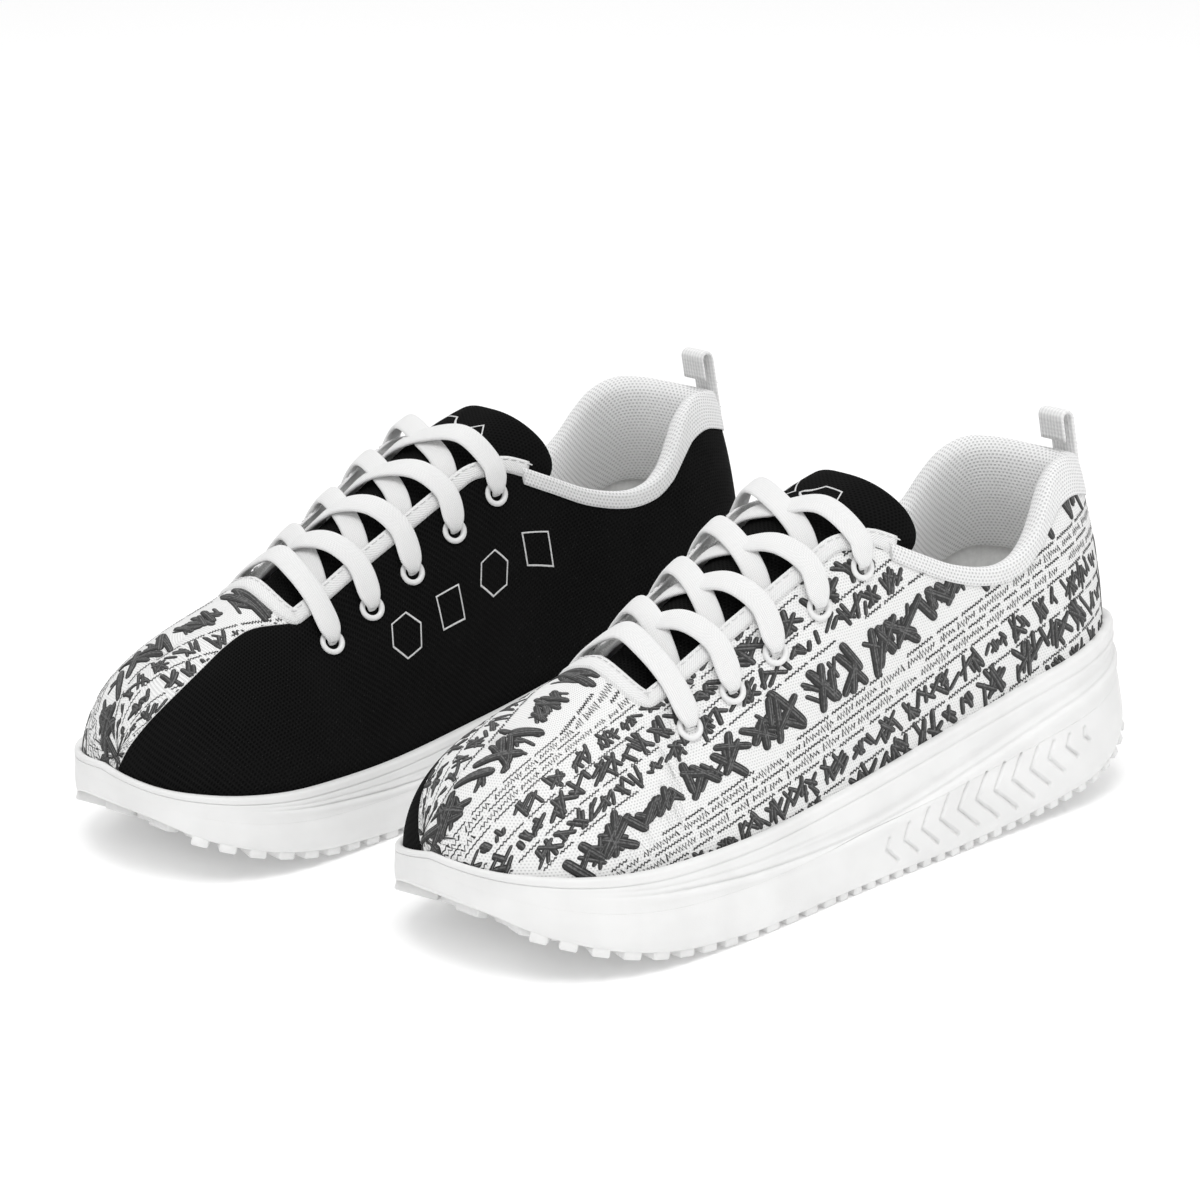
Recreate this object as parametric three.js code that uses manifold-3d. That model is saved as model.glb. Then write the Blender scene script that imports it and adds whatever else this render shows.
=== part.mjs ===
// A pair of laced cheer trainers on rocker soles, each shoe an assembly of sewn, moulded and fitted pieces.
// Millimetres, +Z up. Toes point to -X, heels to +X. The left shoe stands at -Y and the right shoe, its mirror
// image, at +Y. The origin is the bottom centre of the pair's bounding box, on the ground.
// One shoe is designed in its own frame: x runs from the toe tip back to the heel, the outer (lateral) side is
// at -y, the inner (medial) side at +y, and z = 0 is the ground.

import * as THREE from "three";
import { mergeVertices } from "three/addons/utils/BufferGeometryUtils.js";
import Module from "manifold-3d";

const wasm = await Module();
wasm.setup();

// ---------------------------------------------------------------- driving dimensions
const TOE_X = 14; // the upper's toe tip
const HEEL_X = 260; // the upper's heel back
const LENGTH = HEEL_X - TOE_X;
const PAIR_SPACING = 147.5; // between the two shoes' own centre planes
const RIGHT_LEAD = 17.5; // how far the right shoe stands ahead of the left

const GAP = 0.4; // left between pieces that touch on the real shoe
const SLACK = 0.8; // left between curved layers of the upper
const CUP_GAP = 0.9; // between the upper and the sole's rim
const SKIN = 1.4; // mesh fabric of the upper, with its backing
const BINDING_WIDTH = 4.6; // woven tape round the throat
const TAPE = 0.9; // thickness of the tapes
const STIFFENER = 1.0; // toe puff and heel counter

const RIM_WIDTH = 3.4; // the sole's rim, outside the upper
const TOE_RIM = 1.6; // the same at the toe tip
const SOLE_FLARE = 3.6; // how far the wall stands out beyond the rim along the shoe's sides
const CREASE_LEVEL = 0.54; // where the midsole meets the outsole, up the wall
const LUG_HEIGHT = 2.6;
const FLOOR_THICKNESS = 4; // least foam under the cup
const BAR_PITCH = 15; // tread bars across the outsole
const BAR_LENGTH = 9;
const BAR_INSET = 1.5; // from the bar's end to the sole's edge
const BOARD = 1.6; // lasting board sewn under the upper
const FOOTBED = 4;
const SLAB_INSET = 5; // from the upper's outer face to the board's and the footbed's edge

const EYELETS_PER_SIDE = 5;
const EYELET_FLANGE = 3.9; // radii of the eyelet
const EYELET_BARREL = 2.9;
const EYELET_BORE = 2.4;
const EYELET_SINK = 1.9; // how far the barrel reaches below the upper's face
const LACE_WIDTH = 6.2;
const LACE_THICKNESS = 1.3;
const LACE_IN_EYELET = 2.4; // the lace bunches up to this width in an eyelet

const TAB_WIDTH = 10.5; // pull tab at the heel
const TAB_RISE = 9.5; // how far it stands above the collar
const TAB_THICKNESS = 1.4;

const STATIONS = 20; // steps from toe to heel
const LATERAL = -1;
const MEDIAL = 1;

// ---------------------------------------------------------------- small mathematics
const clamp01 = (v) => Math.min(1, Math.max(0, v));
const mix = (a, b, k) => a + (b - a) * k;
const ease = (v) => {
  const k = clamp01(v);
  return k * k * (3 - 2 * k);
};

// A smooth curve through (x, value) points, straight past its ends.
function curveThrough(points) {
  const slope = points.map(([x, y], i) => {
    const [x0, y0] = points[Math.max(0, i - 1)];
    const [x1, y1] = points[Math.min(points.length - 1, i + 1)];
    return (y1 - y0) / (x1 - x0);
  });
  return (x) => {
    let i = 0;
    while (i < points.length - 2 && x > points[i + 1][0]) i++;
    const [xa, ya] = points[i];
    const [xb, yb] = points[i + 1];
    const w = xb - xa;
    if (x <= xa) return ya + (x - xa) * slope[i];
    if (x >= xb) return yb + (x - xb) * slope[i + 1];
    const k = (x - xa) / w;
    const rise = k * k * (3 - 2 * k);
    const lead = (k * k * k - 2 * k * k + k) * w;
    const trail = (k * k * k - k * k) * w;
    return ya + (yb - ya) * rise + slope[i] * lead + slope[i + 1] * trail;
  };
}

// ---------------------------------------------------------------- the last: lines that the whole shoe follows
// Half widths of the upper where it enters the sole, before the toe and heel round off.
const lateralHalfWidth = curveThrough([[0, 41], [45, 42.5], [85, 41], [130, 36], [175, 33], [215, 32], [270, 31]]);
const medialHalfWidth = curveThrough([[0, 43], [45, 42.5], [85, 39], [130, 32.5], [175, 30], [215, 31], [270, 31]]);
const TOE_ROUND = 46;
const HEEL_ROUND = 40;
const TOE_POWER = 2.2;
const HEEL_POWER = 2.05;

// Height of the sole's rim, by station.
const rimHeight = curveThrough([[0, 34], [0.05, 32.2], [0.1, 30.4], [0.15, 29], [0.2, 27.5], [0.3, 25], [0.4, 24.6],
  [0.5, 27.6], [0.6, 33.5], [0.7, 40], [0.8, 45], [0.9, 47.6], [1, 48]]);
// Height of the cup's floor, which the upper stands on.
const floorHeight = curveThrough([[8, 33.4], [20, 26.8], [34, 21.3], [50, 18.6], [75, 17.4], [100, 17.8], [136, 20.6],
  [176, 26.5], [212, 33], [241, 38], [265, 40.6]]);
const RIM_TILT = 3; // the lateral rim stands this much above the mean, the medial rim below

// Height of the rocker bottom, lug faces included. It is flat under the ball and the arch.
const FLAT_FROM = 88;
const FLAT_TO = 170;
const rockerToe = curveThrough([[4, 29.6], [10, 24], [22, 14.4], [34, 9], [46, 5.4], [64, 2], [FLAT_FROM, 0]]);
const rockerHeel = curveThrough([[FLAT_TO, 0], [200, 2.2], [228, 6.4], [242, 10.4], [253, 15.6], [262, 22], [270, 28]]);
const bottomHeight = (x) => (x < FLAT_FROM ? rockerToe(x) : x > FLAT_TO ? rockerHeel(x) : 0);

// The crest of the last: where both sides of the upper would meet above the foot.
const crestHeight = curveThrough([[34, 59.2], [44, 63.8], [54, 67.6], [62, 70.6], [72, 75], [85, 81.6], [101, 89.6],
  [117, 97], [134, 104.5], [152, 112], [190, 119], [236, 122]]);
const squareness = curveThrough([[20, 1.95], [60, 1.8], [85, 1.65], [101, 1.9], [117, 2.15], [134, 2.7],
  [152, 3.1], [190, 2.9], [225, 2.5], [260, 2.2]]);
const CREST_TOE = 25; // how far behind the toe tip the crest starts
const CREST_HEEL = 27; // how far ahead of the heel back it ends

const stationX = (t) => TOE_X + (LENGTH * (1 - Math.cos(Math.PI * t))) / 2;
const stationOf = (x) => Math.acos(1 - (2 * (x - TOE_X)) / LENGTH) / Math.PI;

// How far the outline has opened at station t, 0 at the tips.
function endRounding(t) {
  const x = stationX(t);
  const toe = clamp01(1 - (x - TOE_X) / TOE_ROUND);
  const heel = clamp01(1 - (HEEL_X - x) / HEEL_ROUND);
  return (1 - toe ** TOE_POWER) ** (1 / TOE_POWER) * (1 - heel ** HEEL_POWER) ** (1 / HEEL_POWER);
}

const centreLine = curveThrough([[0, 5], [40, 1.5], [90, 0], [160, 0], [270, -1]]);

// A point of the upper's outline, in plan.
function outline(side, t) {
  const x = stationX(t);
  const half = side < 0 ? lateralHalfWidth(x) : medialHalfWidth(x);
  return new THREE.Vector2(x, centreLine(x) + side * half * endRounding(t));
}

// The sole's wall swells along the shoe's sides, not at the toe and heel tips.
const rimWidth = (t) => mix(TOE_RIM, RIM_WIDTH, ease(t / 0.3));
const flare = (share) => (t) => rimWidth(t) + SOLE_FLARE * share * endRounding(t) * ease(t / 0.3);

// The outline moved outwards along its own normal by `amount`, a distance or a function of the station.
function grownOutline(side, t, amount) {
  const grow = typeof amount === "function" ? amount(t) : amount;
  const p = outline(side, t);
  if (t <= 0) return p.add(new THREE.Vector2(-grow, 0));
  if (t >= 1) return p.add(new THREE.Vector2(grow, 0));
  const step = 0.004;
  const along = outline(side, Math.min(1, t + step)).sub(outline(side, Math.max(0, t - step))).normalize();
  return p.add(new THREE.Vector2(-along.y, along.x).multiplyScalar(side * grow));
}

const rimZ = (side, t) => rimHeight(t) - side * RIM_TILT * Math.sin(Math.PI * clamp01(t)) ** 0.7;

// The upper's surface. t runs from toe to heel, h from the sole (0) to the crest (1), and depth is the distance
// inwards from the outer face.
function last(side, t, h, depth = 0) {
  const foot = outline(side, t);
  const x = foot.x;
  const crestX = x + CREST_TOE * (1 - ease((x - TOE_X) / 75)) - CREST_HEEL * ease((x - 170) / (HEEL_X - 170));
  const crest = new THREE.Vector2(crestX, centreLine(crestX));
  const inward = crest.clone().sub(foot);
  const reach = inward.length();
  inward.normalize();
  foot.addScaledVector(inward, depth);
  const base = floorHeight(x) + GAP;
  const top = crestHeight(crestX) - depth;
  const power = 2 / squareness(crestX);
  const angle = (clamp01(h) * Math.PI) / 2;
  const across = 1 - Math.cos(angle) ** power;
  const plan = foot.addScaledVector(inward, (reach - depth) * across);
  return new THREE.Vector3(plan.x, plan.y, mix(base, top, Math.sin(angle) ** power));
}

// The same surface crossing both sides: q is 0 at the lateral sole, 1 at the crest and 2 at the medial sole.
const wrap = (t, q, depth = 0) => (q <= 1 ? last(LATERAL, t, q, depth) : last(MEDIAL, t, 2 - q, depth));

// Unit vectors on the surface at (t, q): back along the shoe, across it towards the medial side, and outwards.
function surfaceFrame(t, q) {
  const step = 0.01;
  const back = wrap(t + step, q).sub(wrap(t - step, q)).normalize();
  const across = wrap(t, q + step).sub(wrap(t, q - step)).normalize();
  const out = back.clone().cross(across).negate().normalize();
  if (out.z < 0 && q > 0.3 && q < 1.7) out.negate();
  return { back, across, out };
}

// ---------------------------------------------------------------- openings of the upper
const THROAT_FRONT = 70; // the throat's rounded front end, along the crest
const THROAT_TOP = stationOf(155); // where the throat meets the collar
const COLLAR_FROM = stationOf(161); // where the padded collar starts
const throatStart = stationOf(THROAT_FRONT - CREST_TOE * (1 - ease((THROAT_FRONT - TOE_X) / 75)));

// How high each side of the upper reaches: down each side of the throat, round the ankle and up the heel.
const throatEdge = curveThrough([[0, 0.635], [0.5, 0.625], [1, 0.585]]);
const lateralCollar = curveThrough([[150, 99], [158, 95.6], [170, 89], [184, 82], [199, 78.2], [210, 79.6],
  [218, 84.6], [225, 91.6], [232, 97.6], [241, 101], [250, 100], [260, 96.4]]);
const medialCollar = curveThrough([[150, 99], [158, 96.4], [170, 90.4], [184, 83.4], [199, 79.4], [210, 80.4],
  [218, 85], [225, 92], [232, 98], [241, 101.4], [250, 100.2], [260, 96.4]]);

// The h at which the surface reaches a height.
function levelAtHeight(side, t, z) {
  let low = 0;
  let high = 1;
  for (let i = 0; i < 24; i++) {
    const middle = (low + high) / 2;
    if (last(side, t, middle).z < z) low = middle;
    else high = middle;
  }
  return low;
}

const collarLine = (side, t) => {
  const x = stationX(t);
  return levelAtHeight(side, t, side < 0 ? lateralCollar(x) : medialCollar(x));
};

// The upper's top edge at station t.
function topEdge(side, t) {
  if (t <= throatStart) return 1;
  const bend = 0.032; // length of the throat's round front, in stations
  const opened = Math.sqrt(1 - (1 - clamp01((t - throatStart) / bend)) ** 2);
  const along = (t - throatStart) / (THROAT_TOP - throatStart);
  if (along < 1) {
    const throat = mix(1, throatEdge(along), opened);
    const corner = collarLine(side, THROAT_TOP);
    return mix(throat, corner, ease((along - 0.86) / 0.14));
  }
  return collarLine(side, t);
}

// The seam between the printed vamp and the medial quarter, from the toe's medial side up to the throat.
const SEAM_FROM = 0.012;
const SEAM_TO = throatStart + 0.032;
const seamLevel = curveThrough([[SEAM_FROM, 0.12], [0.041, 0.27], [0.075, 0.42], [0.12, 0.56], [0.17, 0.665], [0.22, 0.73],
  [0.27, 0.735], [SEAM_TO, topEdge(MEDIAL, SEAM_TO)]]);

// ---------------------------------------------------------------- building solids
// Holds one shoe's triangles as they are made, and turns them into a geometry.
class Surface {
  constructor() {
    this.points = [];
    this.faces = [];
  }

  add(point) {
    return this.points.push(point) - 1;
  }

  quad(a, b, c, d) {
    this.faces.push([a, b, c], [a, c, d]);
  }

  geometry() {
    const flat = this.faces.flat().flatMap((i) => this.points[i].toArray());
    const loose = new THREE.BufferGeometry().setAttribute("position", new THREE.Float32BufferAttribute(flat, 3));
    const merged = mergeVertices(loose, 1e-3);
    const index = [];
    for (let i = 0; i < merged.index.count; i += 3) {
      const [a, b, c] = [0, 1, 2].map((k) => merged.index.getX(i + k));
      if (a !== b && b !== c && c !== a) index.push(a, b, c);
    }
    merged.setIndex(index);
    return facingOut(merged);
  }
}

// Turns a closed geometry's faces round if its volume comes out negative.
function facingOut(geometry) {
  const p = geometry.attributes.position;
  const [a, b, c] = [new THREE.Vector3(), new THREE.Vector3(), new THREE.Vector3()];
  let volume = 0;
  for (let i = 0; i < geometry.index.count; i += 3) {
    [a, b, c].forEach((v, k) => v.fromBufferAttribute(p, geometry.index.getX(i + k)));
    volume += a.dot(b.cross(c));
  }
  if (volume < 0) {
    const index = geometry.index.array;
    for (let i = 0; i < index.length; i += 3) [index[i + 1], index[i + 2]] = [index[i + 2], index[i + 1]];
  }
  return geometry;
}

// Gives patches of surface a thickness. Each patch is a grid of { outer, inner } points; patches share the points
// that coincide, and every free edge gets a wall.
function thicken(patches) {
  const surface = new Surface();
  const byPlace = new Map();
  const idOf = (pair) => {
    const key = pair.outer.toArray().map((v) => v.toFixed(2)).join();
    if (!byPlace.has(key)) byPlace.set(key, [surface.add(pair.outer), surface.add(pair.inner)]);
    return byPlace.get(key);
  };
  const edges = new Map();
  for (const { grid, flip } of patches) {
    for (let i = 0; i + 1 < grid.length; i++) {
      for (let j = 0; j + 1 < grid[i].length; j++) {
        const corners = [grid[i][j], grid[i + 1][j], grid[i + 1][j + 1], grid[i][j + 1]].map(idOf);
        if (flip) corners.reverse();
        for (const triangle of [[0, 1, 2], [0, 2, 3]].map((pick) => pick.map((k) => corners[k]))) {
          const [a, b, c] = triangle;
          if (a === b || b === c || c === a) continue;
          surface.faces.push([a[0], b[0], c[0]], [a[1], c[1], b[1]]);
          [[a, b], [b, c], [c, a]].forEach(([from, to]) => edges.set(from[0] + "," + to[0], [from, to]));
        }
      }
    }
  }
  for (const [key, [from, to]] of edges) {
    if (!edges.has(key.split(",").reverse().join())) surface.quad(from[0], from[1], to[1], to[0]);
  }
  return surface.geometry();
}

// A solid made of loops stacked on each other. Each loop runs round the shoe: toe tip, lateral side, heel, medial
// side. The first and last loops are closed by strips across the shoe.
function stack(loops) {
  const surface = new Surface();
  const rings = loops.map((loop) => loop.map((p) => surface.add(p)));
  const count = rings[0].length;
  for (let k = 0; k + 1 < rings.length; k++) {
    for (let i = 0; i < count; i++) {
      const j = (i + 1) % count;
      surface.quad(rings[k][i], rings[k][j], rings[k + 1][j], rings[k + 1][i]);
    }
  }
  const cap = (ring, turned) => {
    for (let i = 0; i < count / 2; i++) {
      const quad = [ring[i], ring[i + 1], ring[(count - i - 1) % count], ring[(count - i) % count]];
      surface.quad(...(turned ? quad.reverse() : quad));
    }
  };
  cap(rings[0], true);
  cap(rings.at(-1), false);
  return surface.geometry();
}

// One loop for stack(): `point(side, t)` at every station.
function loop(point) {
  const lateral = [];
  const medial = [];
  for (let i = 0; i <= STATIONS; i++) lateral.push(point(LATERAL, i / STATIONS));
  for (let i = STATIONS - 1; i > 0; i--) medial.push(point(MEDIAL, i / STATIONS));
  return [...lateral, ...medial];
}

// A section swept through stations, each a ring of points, with both ends closed.
function sweep(rings) {
  const surface = new Surface();
  const ids = rings.map((ring) => ring.map((p) => surface.add(p)));
  for (let k = 0; k + 1 < ids.length; k++) {
    for (let i = 0; i < ids[k].length; i++) {
      const j = (i + 1) % ids[k].length;
      surface.quad(ids[k][i], ids[k][j], ids[k + 1][j], ids[k + 1][i]);
    }
  }
  const close = (rim, ring, turned) => {
    const spokes = ring.map((p) => p.clone().sub(ring[0]));
    const normal = new THREE.Vector3();
    spokes.forEach((spoke, i) => normal.add(spoke.clone().cross(spokes[(i + 1) % ring.length])));
    const u = spokes[1].clone().normalize();
    const v = normal.normalize().cross(u).normalize();
    const flat = spokes.map((spoke) => new THREE.Vector2(spoke.dot(u), spoke.dot(v)));
    for (const [a, b, c] of THREE.ShapeUtils.triangulateShape(flat, [])) {
      surface.faces.push(turned ? [rim[a], rim[c], rim[b]] : [rim[a], rim[b], rim[c]]);
    }
  };
  close(ids[0], rings[0], true);
  close(ids.at(-1), rings.at(-1), false);
  return surface.geometry();
}

// Joins and cuts, by manifold-3d.
function solidOf(geometry) {
  const bare = geometry.clone();
  bare.deleteAttribute("normal");
  bare.deleteAttribute("uv");
  const merged = mergeVertices(bare, 1e-3);
  return new wasm.Manifold(
    new wasm.Mesh({
      numProp: 3,
      vertProperties: new Float32Array(merged.attributes.position.array),
      triVerts: new Uint32Array(merged.index.array),
    }),
  );
}

function geometryOf(solid) {
  const mesh = solid.getMesh();
  return new THREE.BufferGeometry()
    .setAttribute("position", new THREE.BufferAttribute(mesh.vertProperties, 3))
    .setIndex(new THREE.BufferAttribute(mesh.triVerts, 1));
}

// ---------------------------------------------------------------- sole
const creaseZ = (side, t) => {
  const x = grownOutline(side, t, flare(0)).x;
  const level = mix(bottomHeight(x) + LUG_HEIGHT, rimHeight(t), CREASE_LEVEL);
  return Math.min(level, floorHeight(x) - FLOOR_THICKNESS);
};
const at = (plan, z) => new THREE.Vector3(plan.x, plan.y, z);
const wallLoop = (grow, height) => loop((side, t) => at(grownOutline(side, t, grow), height(side, t)));
const cupLoop = (grow, lift) => wallLoop(grow, (side, t) => floorHeight(grownOutline(side, t, grow).x) + lift);

// One bar of the tread, with a flat face on the ground side.
function treadBar(x) {
  const slope = (bottomHeight(x + 1) - bottomHeight(x - 1)) / 2;
  const pitch = x >= FLAT_FROM && x <= FLAT_TO ? 0 : -Math.atan(slope);
  const tall = LUG_HEIGHT + 2;
  const t = stationOf(x);
  const [outer, inner] = [LATERAL, MEDIAL].map((side) => grownOutline(side, t, flare(1)).y - side * BAR_INSET);
  return new THREE.BoxGeometry(BAR_LENGTH, inner - outer, tall)
    .translate(0, 0, tall / 2)
    .rotateY(pitch)
    .translate(x, (inner + outer) / 2, bottomHeight(x));
}

function outsole() {
  const inset = -2.5;
  const under = (grow) => wallLoop(grow, (side, t) => bottomHeight(grownOutline(side, t, grow).x) + LUG_HEIGHT);
  const wall = (grow, level) =>
    wallLoop(grow, (side, t) => mix(bottomHeight(grownOutline(side, t, grow).x) + LUG_HEIGHT, creaseZ(side, t), level));
  let solid = solidOf(
    stack([
      under(inset),
      under(flare(0.75)),
      wall(flare(1), 0.25),
      wall(flare(0.85), 0.7),
      wallLoop(flare(0.55), (side, t) => creaseZ(side, t) - GAP),
      ]),
  );
  for (let x = FLAT_FROM - 4 * BAR_PITCH; x < HEEL_X - 6; x += BAR_PITCH) solid = solid.add(solidOf(treadBar(x)));
  return geometryOf(solid);
}

function midsole() {
  return stack([
    wallLoop(flare(0.5), creaseZ),
    wallLoop(flare(0.3), (side, t) => mix(creaseZ(side, t), rimZ(side, t), 0.5)),
    wallLoop(flare(0), (side, t) => rimZ(side, t) - 2),
    wallLoop((t) => mix(CUP_GAP, rimWidth(t), 0.55), rimZ),
    wallLoop(CUP_GAP, (side, t) => rimZ(side, t) - 0.6),
    cupLoop(CUP_GAP, 0),
  ]);
}

// A slab inside the upper, lying over the cup's floor.
const slab = (lift, thickness) => stack([cupLoop(-SLAB_INSET, lift), cupLoop(-SLAB_INSET, lift + thickness)]);

// ---------------------------------------------------------------- upper
// Keeps the two quarters apart where they meet down the heel.
const heelGap = (side, t) => (side * GAP * ease((t - 0.6) / 0.3)) / 2;

function skinPoint(side, t, h, from, to) {
  const outer = last(side, t, h, from);
  const inner = last(side, t, h, to);
  outer.y += heelGap(side, t);
  inner.y += heelGap(side, t);
  return { outer, inner };
}

// A grid on one side between two stations, from level low(t) to level high(t).
function panel(side, stations, low, high, steps, from, to) {
  return {
    flip: side > 0,
    grid: stations.map((t) =>
      Array.from({ length: steps + 1 }, (_, j) => skinPoint(side, t, mix(low(t), high(t), j / steps), from, to)),
    ),
  };
}

const spread = (from, to, steps) => Array.from({ length: steps + 1 }, (_, i) => mix(from, to, i / steps));
const vampStations = [0, ...spread(SEAM_FROM, throatStart, 7)];
const bendStations = [0.1, 0.35, 1].map((k) => mix(throatStart, SEAM_TO, k));
const collarStations = spread(COLLAR_FROM, 1, 12);
const quarterStations = [...spread(SEAM_TO, COLLAR_FROM, 6).slice(1), ...collarStations.slice(1)];

function printedUpper() {
  const toThroat = [...vampStations, ...bendStations];
  const seam = (t) => (t < SEAM_FROM ? 0 : seamLevel(t));
  return thicken([
    panel(LATERAL, [...toThroat, ...quarterStations], () => 0, (t) => topEdge(LATERAL, t), 6, 0, SKIN),
    panel(MEDIAL, toThroat, seam, (t) => Math.max(seam(t), topEdge(MEDIAL, t)), 6, 0, SKIN),
  ]);
}

function medialQuarter() {
  const clearance = 0.012;
  const stations = [...spread(SEAM_FROM, SEAM_TO, 8), ...quarterStations];
  const top = (t) => (t <= SEAM_TO ? seamLevel(t) - clearance : topEdge(MEDIAL, t));
  return thicken([panel(MEDIAL, stations, () => 0, (t) => Math.max(0.004, top(t)), 6, 0, SKIN)]);
}

const INNER_SKIN = SKIN + SLACK; // depth at which the stiffeners start

function toePuff() {
  const stations = spread(0, stationOf(38), 5);
  const low = () => 0.1;
  return thicken([
    panel(LATERAL, stations, low, () => 1, 5, INNER_SKIN, INNER_SKIN + STIFFENER),
    panel(MEDIAL, stations, low, () => 1, 5, INNER_SKIN, INNER_SKIN + STIFFENER),
  ]);
}

function heelCounter() {
  const stations = spread(stationOf(205), 1, 6);
  const low = () => 0.06;
  const high = (t) => 0.06 + 0.36 * ease((t - stations[0]) / 0.12 + 0.25);
  const sheet = (side) =>
    stations.map((t) =>
      spread(low(t), high(t), 4).map((h) => ({
        outer: last(side, t, h, INNER_SKIN),
        inner: last(side, t, h, INNER_SKIN + STIFFENER),
      })),
    );
  return thicken([
    { grid: sheet(LATERAL), flip: false },
    { grid: sheet(MEDIAL), flip: true },
  ]);
}

// The padded collar lining: its section, as [distance above the top edge, depth inwards], rolls from a lip outside
// the upper over the top edge and down the inside.
const lipHeight = curveThrough([[161, 3], [205, 3.2], [225, 5], [245, 9], [265, 11]]);

function collarLining() {
  const section = (lip, drop, pad, innerFace) => [
    [-lip, -SLACK],
    [-lip, -SLACK - 0.7],
    [1, -SLACK - 1],
    [mix(2, 3, pad), 1.6],
    [2.2, mix(3.2, 6.4, pad)],
    [-5, mix(4.4, 8.4, pad)],
    [-drop * 0.55, mix(4.3, 7.4, pad)],
    [-drop, innerFace + 1.4],
    [-drop, innerFace],
    [-2, innerFace],
    [SLACK, innerFace - 1.2],
    [SLACK, -SLACK],
  ];
  const ring = (side, t) => {
    const h = topEdge(side, t);
    const edge = last(side, t, h);
    const rise = edge.distanceTo(last(side, t, h - 0.05)) / 0.05;
    const x = stationX(t);
    const pad = ease((x - 165) / 30);
    const drop = mix(9, 30, ease((t - COLLAR_FROM) / 0.16));
    const innerFace = mix(INNER_SKIN, INNER_SKIN + STIFFENER + SLACK, pad);
    return section(lipHeight(x), drop, pad, innerFace).map(([up, depth]) => {
      const level = up < 0 ? levelAtHeight(side, t, edge.z + up) : h + up / rise;
      const p = last(side, t, level, depth);
      p.y += heelGap(side, t);
      return p;
    });
  };
  return sweep([
    ...collarStations.map((t) => ring(LATERAL, t)),
    ...collarStations.slice(0, -1).reverse().map((t) => ring(MEDIAL, t)),
  ]);
}

// ---------------------------------------------------------------- tongue
const TONGUE_FROM = 66; // its stitched root, under the vamp
const TONGUE_TO = 170; // the middle of its top edge
const TONGUE_DEPTH = 5.5; // below the upper's face, which leaves room for the lace under the flaps
const TONGUE_LIFT = 1.2; // how far the middle of its top stands out of that
const TONGUE_THICKNESS = 4.6;
const tongueReach = curveThrough([[66, 0.3], [90, 0.46], [130, 0.52], [150, 0.55], [180, 0.56]]);

// The tongue's face and back: x along it, and v across it from -1 at its lateral edge to 1 at its medial edge.
// Its top corners trail back round the ankle.
function tonguePoint(x, v, depth) {
  const round = 16 * (1 - Math.sqrt(1 - v ** 6)) * ease((x - 120) / 45);
  const trail = 17 * v * v * ease((x - 125) / 40);
  const lift = TONGUE_LIFT * (1 - v * v) * ease((x - 145) / 20);
  return wrap(stationOf(x + trail - round), 1 + v * tongueReach(x), depth - lift);
}

function tongue() {
  const lengthwise = 10;
  const across = 8;
  const grid = spread(0, 1, lengthwise).map((k) => {
    const x = mix(TONGUE_FROM, TONGUE_TO, k);
    return spread(-1, 1, across).map((v) => ({
      outer: tonguePoint(x, v, TONGUE_DEPTH),
      inner: tonguePoint(x, v, TONGUE_DEPTH + TONGUE_THICKNESS * (1 - 0.35 * v * v)),
    }));
  });
  return thicken([{ grid, flip: false }]);
}

// ---------------------------------------------------------------- throat binding
// The edge of the throat as a path of (t, q), from the lateral top round the front to the medial top.
function throatPath() {
  const down = spread(COLLAR_FROM - 0.006, SEAM_TO, 9);
  const bend = [0.55, 0.22, 0.05].map((k) => mix(throatStart, SEAM_TO, k));
  const lateral = [...down, ...bend].map((t) => [t, topEdge(LATERAL, t)]);
  const medial = [...down, ...bend].reverse().map((t) => [t, 2 - topEdge(MEDIAL, t)]);
  return [...lateral, [throatStart - 0.001, 1], ...medial];
}

function throatBinding() {
  const path = throatPath();
  const place = path.map(([t, q]) => wrap(t, q));
  return sweep(
    path.map(([t, q], i) => {
      const along = place[Math.min(i + 1, place.length - 1)].clone().sub(place[Math.max(0, i - 1)]).normalize();
      const { out } = surfaceFrame(t, q);
      const away = along.clone().cross(out).normalize(); // away from the opening, over the fabric
      const inner = place[i].clone().addScaledVector(away, -0.4);
      const outer = place[i].clone().addScaledVector(away, BINDING_WIDTH);
      const slope = outerDrop(t, q, away);
      return [
        inner.clone().addScaledVector(out, GAP + 0.2),
        inner.clone().addScaledVector(out, GAP + 0.2 + TAPE),
        outer.clone().addScaledVector(out, GAP + 0.2 + TAPE * 0.7 - slope),
        outer.clone().addScaledVector(out, GAP + 0.2 - slope),
      ];
    }),
  );
}

// How far the curved surface falls away below a flat tape laid from the throat's edge.
function outerDrop(t, q, away) {
  const target = wrap(t, q).addScaledVector(away, BINDING_WIDTH);
  const { out } = surfaceFrame(t, q);
  let best = Infinity;
  let drop = 0;
  for (const dt of spread(-0.05, 0.05, 20)) {
    for (const dq of spread(-0.16, 0.16, 32)) {
      const offset = wrap(t + dt, q + dq).sub(target);
      const height = offset.dot(out);
      const miss = offset.addScaledVector(out, -height).length();
      if (miss < best) {
        best = miss;
        drop = -height;
      }
    }
  }
  return Math.max(0, drop);
}

// ---------------------------------------------------------------- eyelets and lace
const eyeletLevel = curveThrough([[0, 0.5], [1, 0.47]]);
const eyeletStations = spread(stationOf(84), stationOf(150), EYELETS_PER_SIDE - 1);

function eyeletPlace(side, index) {
  const t = eyeletStations[index];
  const h = eyeletLevel(index / (EYELETS_PER_SIDE - 1));
  const q = side < 0 ? h : 2 - h;
  return { t, q, centre: wrap(t, q), ...surfaceFrame(t, q) };
}

function alongNormal(geometry, { centre, out }) {
  const turn = new THREE.Quaternion().setFromUnitVectors(new THREE.Vector3(0, 1, 0), out);
  return geometry.applyQuaternion(turn).translate(centre.x, centre.y, centre.z);
}

const EYELET_SIDES = 8;

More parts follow.
